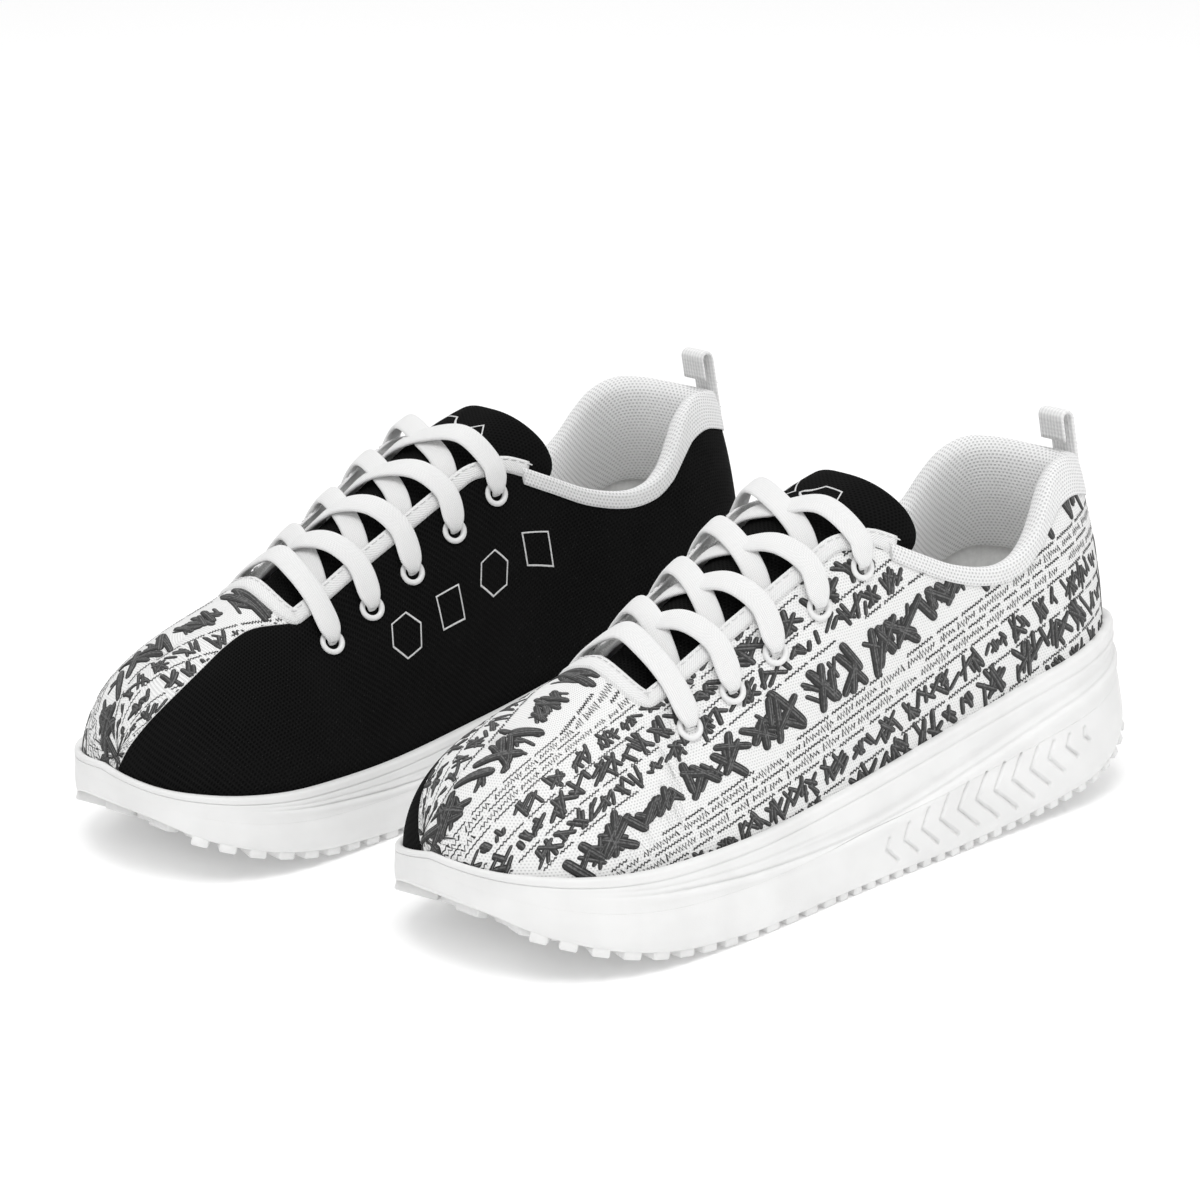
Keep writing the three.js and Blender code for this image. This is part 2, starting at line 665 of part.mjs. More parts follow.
function eyelet(side, index) {
  const profile = [
    [EYELET_BORE, -EYELET_SINK],
    [EYELET_BARREL, -EYELET_SINK],
    [EYELET_BARREL, GAP + 0.3],
    [EYELET_FLANGE, GAP + 0.3],
    [EYELET_FLANGE - 0.4, GAP + 1.1],
    [EYELET_BORE, GAP + 1.1],
    [EYELET_BORE, -EYELET_SINK],
  ].map(([r, y]) => new THREE.Vector2(r, y));
  const ring = new THREE.LatheGeometry(profile, EYELET_SIDES);
  return facingOut(withoutAttributes(alongNormal(ring, eyeletPlace(side, index))));
}

function withoutAttributes(geometry) {
  geometry.deleteAttribute("normal");
  geometry.deleteAttribute("uv");
  const merged = mergeVertices(geometry, 1e-3);
  const index = [];
  for (let i = 0; i < merged.index.count; i += 3) {
    const [a, b, c] = [0, 1, 2].map((k) => merged.index.getX(i + k));
    if (a !== b && b !== c && c !== a) index.push(a, b, c);
  }
  return merged.setIndex(index);
}

function withEyeletHoles(geometry, side) {
  let solid = solidOf(geometry);
  for (let i = 0; i < EYELETS_PER_SIDE; i++) {
    const radius = EYELET_BARREL + GAP + 0.15;
    const drill = new THREE.CylinderGeometry(radius, radius, 9, EYELET_SIDES);
    solid = solid.subtract(solidOf(withoutAttributes(alongNormal(drill, eyeletPlace(side, i)))));
  }
  return geometryOf(solid);
}

const LACE_UNDER = 3.4; // depth of the lace below the upper's face, under the flaps and over the tongue
const LACE_CROSSING = 1.2; // the same for the run that crosses over the other
const LACE_OVER = -3.3; // over the binding

// One end of the lace, from the front bar up through the eyelets. It goes in at each eyelet from above, comes out
// from under the edge, and crosses to the next eyelet on the other side. Each stop is a point, its outward normal
// and the lace's width there. Where two runs cross, the one towards the medial side lies over the other.
function laceEnd(firstSide) {
  const stops = [];
  const stop = (point, out, width) => stops.push({ point, out, width });
  const lie = (t, q, depth, width = LACE_WIDTH) => stop(wrap(t, q, depth), surfaceFrame(t, q).out, width);
  let side = firstSide;
  for (let i = 0; i < EYELETS_PER_SIDE; i++) {
    const eye = eyeletPlace(side, i);
    const inwards = eye.across.clone().multiplyScalar(-side);
    const into = (away, lift) => eye.centre.clone().addScaledVector(inwards, away).addScaledVector(eye.out, lift);
    const level = (h) => (side < 0 ? h : 2 - h);
    lie(eye.t, level(topEdge(side, eye.t) + 0.01), LACE_OVER);
    stop(into(3.8, 3.2), eye.out, LACE_WIDTH);
    stop(into(0.4, 2.2), eye.out, LACE_IN_EYELET);
    stop(into(0, -2.9), inwards, LACE_IN_EYELET);
    const forward = eye.t + 0.01;
    const edge = topEdge(side, forward);
    lie(forward, level(edge - 0.07), LACE_UNDER, LACE_IN_EYELET + 1.4);
    if (i === EYELETS_PER_SIDE - 1) break;
    lie(forward, level(edge + 0.02), LACE_UNDER);
    const next = eyeletStations[i + 1];
    const middle = side === LATERAL ? LACE_CROSSING : LACE_UNDER;
    lie(mix(forward, next, 0.25), 1 + side * 0.2, LACE_UNDER);
    lie(mix(forward, next, 0.5), 1, middle);
    lie(mix(forward, next, 0.78), 1 - side * 0.2, mix(middle, LACE_OVER, 0.7));
    side = -side;
  }
  return stops;
}

function lace() {
  const [one, other] = [laceEnd(LATERAL), laceEnd(MEDIAL)];
  const bar = [0.8, 1, 1.2].map((q) => ({
    point: wrap(eyeletStations[0], q, -1.6),
    out: surfaceFrame(eyeletStations[0], q).out,
    width: LACE_WIDTH,
  }));
  const stops = [...one.reverse(), ...bar, ...other];
  const path = new THREE.CatmullRomCurve3(stops.map((s) => s.point), false, "centripetal");
  const stepsPerStop = 2;
  const count = (stops.length - 1) * stepsPerStop;
  return sweep(
    Array.from({ length: count + 1 }, (_, i) => {
      const k = i / count;
      const here = k * (stops.length - 1);
      const a = stops[Math.floor(Math.min(here, stops.length - 1))];
      const b = stops[Math.min(stops.length - 1, Math.floor(here) + 1)];
      const blend = here - Math.floor(here);
      const out = a.out.clone().lerp(b.out, blend).normalize();
      const width = mix(a.width, b.width, blend);
      const along = path.getTangent(k);
      const broad = along.clone().cross(out).normalize();
      const normal = broad.clone().cross(along).normalize();
      const centre = path.getPoint(k);
      const corner = (w, n) =>
        centre.clone().addScaledVector(broad, (w * width) / 2).addScaledVector(normal, (n * LACE_THICKNESS) / 2);
      return [corner(-1, -1), corner(1, -1), corner(1, 1), corner(-1, 1)];
    }),
  );
}

// ---------------------------------------------------------------- pull tab
// A loop of webbing at the heel: its long leg is sewn down behind the collar's lip, and the bight stands above.
function pullTab() {
  const bend = 1.4 + TAB_THICKNESS / 2;
  const behind = last(MEDIAL, 1, topEdge(MEDIAL, 1), -SLACK - 1.8 - TAB_THICKNESS / 2);
  const base = new THREE.Vector3(behind.x - bend, behind.y, behind.z + 3.4);
  const lean = 0.1;
  const turns = 8;
  const route = [[bend, -12], [bend, 0]];
  for (const k of spread(0, 1, turns)) {
    route.push([bend * Math.cos(k * Math.PI), TAB_RISE - bend + bend * Math.sin(k * Math.PI)]);
  }
  route.push([-bend, 0.6]);
  return sweep(
    route.map(([across, up], i) => {
      const before = route[Math.max(0, i - 1)];
      const after = route[Math.min(route.length - 1, i + 1)];
      const along = new THREE.Vector2(after[0] - before[0], after[1] - before[1]).normalize();
      const corner = (w, n) => {
        const x = across + (n * along.y * TAB_THICKNESS) / 2;
        const z = up - (n * along.x * TAB_THICKNESS) / 2;
        return new THREE.Vector3(base.x + x - lean * z, base.y + (w * TAB_WIDTH) / 2, base.z + z);
      };
      return [corner(-1, -1), corner(1, -1), corner(1, 1), corner(-1, 1)];
    }),
  );
}

// ---------------------------------------------------------------- materials
const material = (color, roughness) => new THREE.MeshStandardMaterial({ color, roughness, metalness: 0, flatShading: true });
const WHITE_FOAM = material(0xf1f1f0, 0.6);
const WHITE_FABRIC = material(0xececec, 0.9);
const PRINTED_FABRIC = material(0xb4b4b4, 0.85);
const BLACK_FABRIC = material(0x111111, 0.9);
const FIBRE_BOARD = material(0xd9d3c4, 0.95);
const WHITE_PLASTIC = material(0xe4e4e4, 0.45);
const STIFF_SHEET = material(0xc9c6bd, 0.8);

// ---------------------------------------------------------------- one shoe, and the pair
function shoe(name) {
  const group = new THREE.Group();
  const add = (piece, geometry, finish) => {
    const mesh = new THREE.Mesh(geometry, finish);
    mesh.name = name + "_" + piece;
    group.add(mesh);
  };
  add("outsole", outsole(), WHITE_FOAM);
  add("midsole", midsole(), WHITE_FOAM);
  add("lasting_board", slab(SLACK, BOARD), FIBRE_BOARD);
  add("footbed", slab(SLACK + BOARD + GAP, FOOTBED), WHITE_FABRIC);
  add("printed_upper", withEyeletHoles(printedUpper(), LATERAL), PRINTED_FABRIC);
  add("medial_quarter", withEyeletHoles(medialQuarter(), MEDIAL), BLACK_FABRIC);
  add("toe_puff", toePuff(), STIFF_SHEET);
  add("heel_counter", heelCounter(), STIFF_SHEET);
  add("collar_lining", collarLining(), WHITE_FABRIC);
  add("tongue", tongue(), BLACK_FABRIC);
  add("throat_binding", throatBinding(), WHITE_FABRIC);
  add("pull_tab", pullTab(), WHITE_FABRIC);
  add("lace", lace(), WHITE_FABRIC);
  for (const [side, word] of [[LATERAL, "lateral"], [MEDIAL, "medial"]]) {
    for (let i = 0; i < EYELETS_PER_SIDE; i++) add(word + "_eyelet_" + (i + 1), eyelet(side, i), WHITE_PLASTIC);
  }
  return group;
}

const left = shoe("left");
const right = shoe("right");
right.scale.y = -1;
right.position.set(-RIGHT_LEAD, PAIR_SPACING, 0);

const pair = new THREE.Group();
pair.add(left, right);
pair.updateMatrixWorld(true);
const box = new THREE.Box3().setFromObject(pair, true);
const centre = box.getCenter(new THREE.Vector3());
pair.position.set(-centre.x, -centre.y, -box.min.z);

const cheerShoes = new THREE.Group();
cheerShoes.name = "cheer_shoes";
cheerShoes.add(pair);

export default cheerShoes;
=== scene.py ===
"""A pair of laced cheer trainers on thick rocker soles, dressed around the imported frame.

One shoe is designed in its own frame, in millimetres: x runs from the toe tip back to the heel, the outer
(lateral) side is at -y, the inner (medial) side at +y, and z = 0 is the ground. Every piece is built once in that
frame and set down twice, the second time mirrored, in the row frame in metres.
"""

from __future__ import annotations

import logging
import math
from dataclasses import dataclass, field
from enum import Enum
from typing import Callable, Iterable, Sequence

import bmesh
import bpy
import numpy as np
from mathutils import Matrix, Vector
from mathutils.bvhtree import BVHTree

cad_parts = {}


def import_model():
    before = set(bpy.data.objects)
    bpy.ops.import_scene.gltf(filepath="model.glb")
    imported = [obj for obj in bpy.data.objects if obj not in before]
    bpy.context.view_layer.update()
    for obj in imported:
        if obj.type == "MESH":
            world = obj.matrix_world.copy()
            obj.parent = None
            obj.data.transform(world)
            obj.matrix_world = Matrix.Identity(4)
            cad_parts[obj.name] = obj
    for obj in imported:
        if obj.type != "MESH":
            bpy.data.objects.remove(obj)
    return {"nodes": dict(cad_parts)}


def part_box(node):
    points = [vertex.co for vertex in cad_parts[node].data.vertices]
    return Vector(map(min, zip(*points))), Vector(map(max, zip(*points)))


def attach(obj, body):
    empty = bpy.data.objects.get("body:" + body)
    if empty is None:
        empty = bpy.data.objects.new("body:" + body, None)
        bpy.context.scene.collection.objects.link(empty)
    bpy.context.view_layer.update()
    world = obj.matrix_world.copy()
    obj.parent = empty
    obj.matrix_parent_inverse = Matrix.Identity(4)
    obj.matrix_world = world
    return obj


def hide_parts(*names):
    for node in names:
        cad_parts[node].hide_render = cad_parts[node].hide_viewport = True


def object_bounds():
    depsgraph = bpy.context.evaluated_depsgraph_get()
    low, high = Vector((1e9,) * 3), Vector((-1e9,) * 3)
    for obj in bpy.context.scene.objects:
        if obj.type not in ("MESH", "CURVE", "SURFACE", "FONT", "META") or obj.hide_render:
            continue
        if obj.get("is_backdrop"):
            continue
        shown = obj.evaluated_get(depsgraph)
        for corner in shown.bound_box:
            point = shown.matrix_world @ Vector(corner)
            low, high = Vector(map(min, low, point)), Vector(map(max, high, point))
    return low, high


LOG = logging.getLogger("cheer_shoes")
MM = 0.001
CLOTH_UV = "cloth"
LATERAL = -1.0
MEDIAL = 1.0


class Part(Enum):
    """The bodies that one shoe is made of, as they end in the frame's body names."""

    SHOE = "shoe"
    TONGUE = "tongue_body"
    TAB = "tab_body"


# ------------------------------------------------------------------ small mathematics
def ease(value: np.ndarray | float) -> np.ndarray:
    """Goes smoothly from 0 to 1 as value does, and is level outside.

    Args:
        value: The share of the way.

    Returns:
        The eased share.
    """
    share = np.clip(value, 0.0, 1.0)
    return share * share * (3 - 2 * share)


def mix(a: np.ndarray | float, b: np.ndarray | float, share: np.ndarray | float) -> np.ndarray | float:
    """Returns the value a share of the way from a to b."""
    return a + (b - a) * share


def bump(value: np.ndarray | float, centre: np.ndarray | float, width: float) -> np.ndarray:
    """Returns a bell of height 1 about a centre, with its half width."""
    return np.exp(-(((value - centre) / width) ** 2))


def unit(vectors: np.ndarray) -> np.ndarray:
    """Returns the vectors at length 1."""
    return vectors / np.maximum(np.linalg.norm(vectors, axis=-1, keepdims=True), 1e-12)


class Curve:
    """A smooth curve through (x, value) points, straight past its ends."""

    def __init__(self, *points: tuple[float, float]) -> None:
        """Takes the points in order of x."""
        self.x, self.y = np.array(points, float).T
        place = np.arange(len(self.x))
        ahead = np.minimum(place + 1, len(self.x) - 1)
        behind = np.maximum(place - 1, 0)
        self.slope = (self.y[ahead] - self.y[behind]) / (self.x[ahead] - self.x[behind])

    def __call__(self, x: np.ndarray | float) -> np.ndarray:
        """Returns the curve's value at x."""
        x = np.asarray(x, float)
        i = np.clip(np.searchsorted(self.x, x) - 1, 0, len(self.x) - 2)
        width = self.x[i + 1] - self.x[i]
        k = (x - self.x[i]) / width
        c = np.clip(k, 0, 1)
        value = self.y[i] + (self.y[i + 1] - self.y[i]) * c * c * (3 - 2 * c)
        value = value + self.slope[i] * (c**3 - 2 * c * c + c) * width + self.slope[i + 1] * (c**3 - c * c) * width
        return value + np.where(k < 0, k * width * self.slope[i], 0) + np.where(
            k > 1, (k - 1) * width * self.slope[i + 1], 0
        )


def squared(value: np.ndarray, power: float) -> np.ndarray:
    """Returns a sine or cosine flattened towards a rounded square."""
    return np.sign(value) * np.abs(value) ** power


def run_length(points: np.ndarray) -> np.ndarray:
    """Returns how far along a line of points each one is."""
    return np.concatenate([[0], np.cumsum(np.linalg.norm(np.diff(points, axis=0), axis=-1))])


def smooth_path(points: np.ndarray, steps: int) -> np.ndarray:
    """Runs a rounded line through points.

    Args:
        points: The points, with any extra columns blended alike.
        steps: Pieces between one point and the next.

    Returns:
        The points of the rounded line.
    """
    padded = np.vstack([2 * points[0] - points[1], points, 2 * points[-1] - points[-2]])
    gaps = np.sqrt(np.maximum(np.linalg.norm(np.diff(padded[:, :3], axis=0), axis=1), 1e-6))
    rows = []
    for i in range(1, len(padded) - 2):
        before, at, after, beyond = padded[i - 1 : i + 3]
        d0, d1, d2 = gaps[i - 1 : i + 2]
        leave = (at - before) / d0 - (after - before) / (d0 + d1) + (after - at) / d1
        reach = (after - at) / d1 - (beyond - at) / (d1 + d2) + (beyond - after) / d2
        for k in np.arange(steps) / steps:
            rows.append(
                (2 * k**3 - 3 * k**2 + 1) * at
                + (k**3 - 2 * k**2 + k) * leave * d1
                + (3 * k**2 - 2 * k**3) * after
                + (k**3 - k**2) * reach * d1
            )
    rows.append(padded[-2])
    return np.array(rows)


def closed_spline(points: np.ndarray, steps: int) -> np.ndarray:
    """Rounds closed rings of points.

    Args:
        points: Rings of points, as (ring, point, 3).
        steps: Pieces between one point and the next.

    Returns:
        The rounded rings.
    """
    before, after, beyond = (np.roll(points, shift, axis=1) for shift in (1, -1, -2))
    rows = []
    for k in np.arange(steps) / steps:
        rows.append(
            0.5
            * (
                2 * points
                + (after - before) * k
                + (2 * before - 5 * points + 4 * after - beyond) * k**2
                + (3 * points - before - 3 * after + beyond) * k**3
            )
        )
    count = points.shape[1]
    return np.stack(rows, axis=2).reshape(points.shape[0], count * steps, 3)


# ------------------------------------------------------------------ the last
class Last:
    """The lines that the whole shoe follows: the foot's outline, the crest over it, the sole's rim and the openings."""

    TOE_X, HEEL_X = 14.0, 260.0
    GAP = 0.4
    TOE_ROUND, TOE_POWER = 46.0, 2.2
    HEEL_ROUND, HEEL_POWER = 40.0, 2.05
    CREST_TOE, CREST_HEEL = 25.0, 27.0
    RIM_WIDTH, TOE_RIM, FLARE, RIM_TILT = 3.4, 1.6, 3.6, 3.0
    FLAT_FROM, FLAT_TO = 88.0, 170.0
    THROAT_BEND = 0.032

    lateral_half = Curve((0, 41), (45, 42.5), (85, 41), (130, 36), (175, 33), (215, 32), (270, 31))
    medial_half = Curve((0, 43), (45, 42.5), (85, 39), (130, 32.5), (175, 30), (215, 31), (270, 31))
    centre = Curve((0, 5), (40, 1.5), (90, 0), (160, 0), (270, -1))
    rim_height = Curve(
        (0, 34), (0.05, 32.2), (0.1, 30.4), (0.15, 29), (0.2, 27.5), (0.3, 25), (0.4, 24.6),
        (0.5, 27.6), (0.6, 33.5), (0.7, 40), (0.8, 45), (0.9, 47.6), (1, 48),
    )
    floor_height = Curve(
        (8, 33.4), (20, 26.8), (34, 21.3), (50, 18.6), (75, 17.4), (100, 17.8), (136, 20.6),
        (176, 26.5), (212, 33), (241, 38), (265, 40.6),
    )
    rocker_toe = Curve((4, 29.6), (10, 24), (22, 14.4), (34, 9), (46, 5.4), (64, 2), (88, 0))
    rocker_heel = Curve((170, 0), (200, 2.2), (228, 6.4), (242, 10.4), (253, 15.6), (262, 22), (270, 28))
    crest_height = Curve(
        (34, 59.2), (44, 63.8), (54, 67.6), (62, 70.6), (72, 75), (85, 81.6), (101, 89.6),
        (117, 97), (134, 104.5), (152, 112), (190, 119), (236, 122),
    )
    squareness = Curve(
        (20, 1.95), (60, 1.8), (85, 1.65), (101, 1.9), (117, 2.15), (134, 2.7), (152, 3.1),
        (190, 2.9), (225, 2.5), (260, 2.2),
    )
    throat_edge = Curve((0, 0.635), (0.5, 0.625), (1, 0.585))
    lateral_collar = Curve(
        (150, 99), (158, 95.6), (170, 89), (184, 82), (199, 78.2), (210, 79.6), (218, 84.6),
        (225, 91.6), (232, 97.6), (241, 101), (250, 100), (260, 96.4),
    )
    medial_collar = Curve(
        (150, 99), (158, 96.4), (170, 90.4), (184, 83.4), (199, 79.4), (210, 80.4), (218, 85),
        (225, 92), (232, 98), (241, 101.4), (250, 100.2), (260, 96.4),
    )

    def __init__(self) -> None:
        """Works out the stations where the throat and the collar start."""
        self.length = self.HEEL_X - self.TOE_X
        self.throat_start = float(self.station_of(70 - self.CREST_TOE * (1 - float(ease((70 - self.TOE_X) / 75)))))
        self.throat_top = float(self.station_of(155))
        self.collar_from = float(self.station_of(161))
        self.seam_from = 0.022
        self.seam_to = self.throat_start + self.THROAT_BEND
        self.seam_level = Curve(
            (self.seam_from, 0.1), (0.041, 0.25), (0.075, 0.42), (0.12, 0.56), (0.17, 0.665),
            (0.22, 0.73), (0.27, 0.735),
            (self.seam_to, float(self.top_edge(MEDIAL, self.seam_to))),
        )

    def station_x(self, t: np.ndarray | float) -> np.ndarray:
        """Returns x at station t, 0 at the toe tip and 1 at the heel."""
        return self.TOE_X + self.length * (1 - np.cos(np.pi * np.asarray(t, float))) / 2

    def station_of(self, x: np.ndarray | float) -> np.ndarray:
        """Returns the station at x."""
        return np.arccos(np.clip(1 - 2 * (np.asarray(x, float) - self.TOE_X) / self.length, -1, 1)) / np.pi

    def rounding(self, t: np.ndarray | float) -> np.ndarray:
        """Returns how far the outline has opened at station t, 0 at both tips."""
        x = self.station_x(t)
        toe = np.clip(1 - (x - self.TOE_X) / self.TOE_ROUND, 0, 1)
        heel = np.clip(1 - (self.HEEL_X - x) / self.HEEL_ROUND, 0, 1)
        return (1 - toe**self.TOE_POWER) ** (1 / self.TOE_POWER) * (1 - heel**self.HEEL_POWER) ** (1 / self.HEEL_POWER)

    def outline(self, side: np.ndarray | float, t: np.ndarray | float) -> np.ndarray:
        """Returns the upper's outline in plan, as (..., 2)."""
        x = self.station_x(t)
        half = np.where(np.asarray(side) < 0, self.lateral_half(x), self.medial_half(x))
        return np.stack(np.broadcast_arrays(x, self.centre(x) + side * half * self.rounding(t)), axis=-1)

    def rim_width(self, t: np.ndarray | float) -> np.ndarray:
        """Returns how far the sole's rim stands outside the upper."""
        return mix(self.TOE_RIM, self.RIM_WIDTH, ease(np.asarray(t) / 0.3))

    def grown(self, side: float, t: np.ndarray, amount: np.ndarray | float) -> np.ndarray:
        """Moves the outline outwards along its own normal.

        Args:
            side: LATERAL or MEDIAL.
            t: Stations.
            amount: Distance outwards.

        Returns:
            Plan points, as (..., 2).
        """
        t = np.asarray(t, float)
        step = 0.004
        ahead, behind = np.minimum(t + step, 1), np.maximum(t - step, 0)
        along = unit(self.outline(side, ahead) - self.outline(side, behind))
        normal = np.stack([-along[..., 1], along[..., 0]], axis=-1) * side
        normal = np.where((t <= 0)[..., None], np.array([-1.0, 0.0]), normal)
        normal = np.where((t >= 1)[..., None], np.array([1.0, 0.0]), normal)
        return self.outline(side, t) + normal * np.asarray(amount)[..., None]

    def bottom(self, x: np.ndarray | float) -> np.ndarray:
        """Returns the height of the tread's faces at x."""
        toe, heel = self.rocker_toe(x), self.rocker_heel(x)
        return np.where(x < self.FLAT_FROM, toe, np.where(x > self.FLAT_TO, heel, 0.0))

    def rim_z(self, side: float, t: np.ndarray | float) -> np.ndarray:
        """Returns the height of the sole's rim."""
        tilt = np.sin(np.pi * np.clip(t, 0, 1)) ** 0.7
        return self.rim_height(t) - side * self.RIM_TILT * tilt

    def point(
        self, side: np.ndarray | float, t: np.ndarray, h: np.ndarray, depth: np.ndarray | float = 0
    ) -> np.ndarray:
        """Returns points of the upper's surface.

        Args:
            side: LATERAL or MEDIAL.
            t: Stations from toe to heel.
            h: Levels from the sole, 0, to the crest, 1.
            depth: Distance inwards from the outer face.

        Returns:
            Points, as (..., 3).
        """
        side, t, h, depth = np.broadcast_arrays(side, t, h, depth)
        foot = self.outline(side, t)
        x = foot[..., 0]
        forward = self.CREST_TOE * (1 - ease((x - self.TOE_X) / 75))
        crest_x = x + forward - self.CREST_HEEL * ease((x - 170) / (self.HEEL_X - 170))
        inward = np.stack([crest_x, self.centre(crest_x)], axis=-1) - foot
        reach = np.linalg.norm(inward, axis=-1)
        inward = unit(inward)
        base = self.floor_height(x) + self.GAP
        top = self.crest_height(crest_x) - depth
        power = 2 / self.squareness(crest_x)
        angle = np.clip(h, 0, 1) * np.pi / 2
        across = 1 - np.maximum(np.cos(angle), 0) ** power
        plan = foot + inward * (depth + (reach - depth) * across)[..., None]
        return np.concatenate([plan, (base + (top - base) * np.sin(angle) ** power)[..., None]], axis=-1)

    def wrap(self, t: np.ndarray | float, q: np.ndarray | float, depth: np.ndarray | float = 0) -> np.ndarray:
        """Returns points across both sides: q is 0 at the lateral sole, 1 at the crest and 2 at the medial sole."""
        t, q, depth = np.broadcast_arrays(t, q, depth)
        return self.point(np.where(q <= 1, LATERAL, MEDIAL), t, np.where(q <= 1, q, 2 - q), depth)

    def frame(self, t: np.ndarray | float, q: np.ndarray | float) -> tuple[np.ndarray, np.ndarray, np.ndarray]:
        """Returns unit vectors on the surface: back along the shoe, across it to the medial side, and outwards."""
        step = 0.01
        t, q = np.broadcast_arrays(np.asarray(t, float), np.asarray(q, float))
        back = unit(self.wrap(t + step, q) - self.wrap(t - step, q))
        across = unit(self.wrap(t, q + step) - self.wrap(t, q - step))
        out = -unit(np.cross(back, across))
        turned = (out[..., 2] < 0) & (q > 0.3) & (q < 1.7)
        return back, across, np.where(turned[..., None], -out, out)

    def walk(self, t: np.ndarray, q: np.ndarray, way: np.ndarray, distance: float) -> tuple[np.ndarray, np.ndarray]:
        """Walks over the surface.

        Args:
            t: Stations to start from.
            q: Levels to start from.
            way: The direction in space, one for each start.
            distance: How far, in a few steps.

        Returns:
            The stations and levels reached.
        """
        t, q = np.array(t, float), np.array(q, float)
        steps = 3
        for _ in range(steps):
            dt = (self.wrap(t + 1e-3, q) - self.wrap(t - 1e-3, q)) / 2e-3
            dq = (self.wrap(t, q + 1e-3) - self.wrap(t, q - 1e-3)) / 2e-3
            aim = way * (distance / steps)
            tt, qq, tq = (dt * dt).sum(-1), (dq * dq).sum(-1), (dt * dq).sum(-1)
            at, aq = (dt * aim).sum(-1), (dq * aim).sum(-1)
            scale = np.maximum(tt * qq - tq * tq, 1e-9)
            t, q = t + (at * qq - aq * tq) / scale, q + (aq * tt - at * tq) / scale
        return t, q

    def level_at(self, side: float, t: np.ndarray, z: np.ndarray) -> np.ndarray:
        """Returns the level at which the surface reaches the height z."""
        t, z = np.broadcast_arrays(np.asarray(t, float), np.asarray(z, float))
        low, high = np.zeros(t.shape), np.ones(t.shape)
        for _ in range(26):
            middle = (low + high) / 2
            under = self.point(side, t, middle)[..., 2] < z
            low, high = np.where(under, middle, low), np.where(under, high, middle)
        return low

    def collar_line(self, side: float, t: np.ndarray | float) -> np.ndarray:
        """Returns the level of the collar's top line."""
        x = self.station_x(t)
        return self.level_at(side, t, self.lateral_collar(x) if side < 0 else self.medial_collar(x))

    def top_edge(self, side: float, t: np.ndarray | float) -> np.ndarray:
        """Returns how high the upper reaches: to the crest, down the throat, round the ankle and up the heel."""
        t = np.asarray(t, float)
        opened = np.sqrt(1 - (1 - np.clip((t - self.throat_start) / self.THROAT_BEND, 0, 1)) ** 2)
        along = (t - self.throat_start) / (self.throat_top - self.throat_start)
        throat = mix(1.0, self.throat_edge(along), opened)
        front = mix(throat, self.collar_line(side, self.throat_top), ease((along - 0.86) / 0.14))
        return np.where(t <= self.throat_start, 1.0, np.where(along < 1, front, self.collar_line(side, t)))


LAST = Last()


# ------------------------------------------------------------------ meshes
class Shape:
    """Grids of points in one shoe's frame, in millimetres, with cloth coordinates and paint numbers."""

    def __init__(self) -> None:
        """Starts with nothing."""
        self.points: list[np.ndarray] = []
        self.uvs: list[np.ndarray] = []
        self.faces: list[np.ndarray] = []
        self.paints: list[np.ndarray] = []
        self.count = 0

    def add(self, points: np.ndarray, faces: np.ndarray, uv: np.ndarray | None = None, paint: int = 0) -> None:
        """Adds loose points and their faces, with cloth coordinates and a paint."""
        points = points.reshape(-1, 3)
        self.points.append(points)
        self.uvs.append(np.zeros((len(points), 2)) if uv is None else uv.reshape(-1, 2))
        self.faces.append(np.asarray(faces) + self.count)
        self.paints.append(np.full(len(faces), paint))
        self.count += len(points)

    def grid(self, points: np.ndarray, uv: np.ndarray | None = None, paint: int = 0, ring: bool = False) -> None:
        """Adds a grid of points, as (rows, columns, 3); `ring` joins its last column to its first."""
        rows, columns = points.shape[:2]
        index = np.arange(rows * columns).reshape(rows, columns)
        if ring:
            index = np.hstack([index, index[:, :1]])
        a, b, c, d = index[:-1, :-1], index[1:, :-1], index[1:, 1:], index[:-1, 1:]
        self.add(points, np.stack([a, b, c, d], axis=-1).reshape(-1, 4), uv, paint)

    def cap(self, ring: np.ndarray, paint: int = 0) -> None:
        """Closes a loop that runs up one side and back down the other with strips across."""
        count = len(ring)
        k = np.arange(count // 2)
        quads = np.stack([k, k + 1, (count - k - 1) % count, (count - k) % count], axis=-1)
        self.add(ring, quads, paint=paint)

    def fan(self, ring: np.ndarray, paint: int = 0) -> None:
        """Closes a small ring with a fan about its middle."""
        count = len(ring)
        k = np.arange(count)
        faces = np.stack([k, (k + 1) % count, np.full(count, count), np.full(count, count)], axis=-1)
        self.add(np.vstack([ring, ring.mean(0)]), faces, paint=paint)

    def tube(self, rings: np.ndarray, uv: np.ndarray | None = None, paint: int = 0) -> None:
        """Adds a tube of rings, as (ring, point, 3), closed at both ends."""
        self.grid(rings, uv, paint, ring=True)
        self.fan(rings[0], paint)
        self.fan(rings[-1], paint)


@dataclass(frozen=True)
class Stance:
    """Where one shoe of the pair stands in the row frame."""

    name: str
    mirrored: bool
    ahead: float
    aside: float
    toe_origin: float

    def place(self, points: np.ndarray) -> np.ndarray:
        """Returns the shoe's points in the row frame, in metres."""
        x = points[..., 0] - self.ahead + self.toe_origin
        y = (-points[..., 1] if self.mirrored else points[..., 1]) + self.aside
        return np.stack([x, y, points[..., 2]], axis=-1) * MM

    def turn(self, vectors: np.ndarray) -> np.ndarray:
        """Returns the shoe's directions in the row frame."""
        return vectors * np.array([1.0, -1.0 if self.mirrored else 1.0, 1.0])


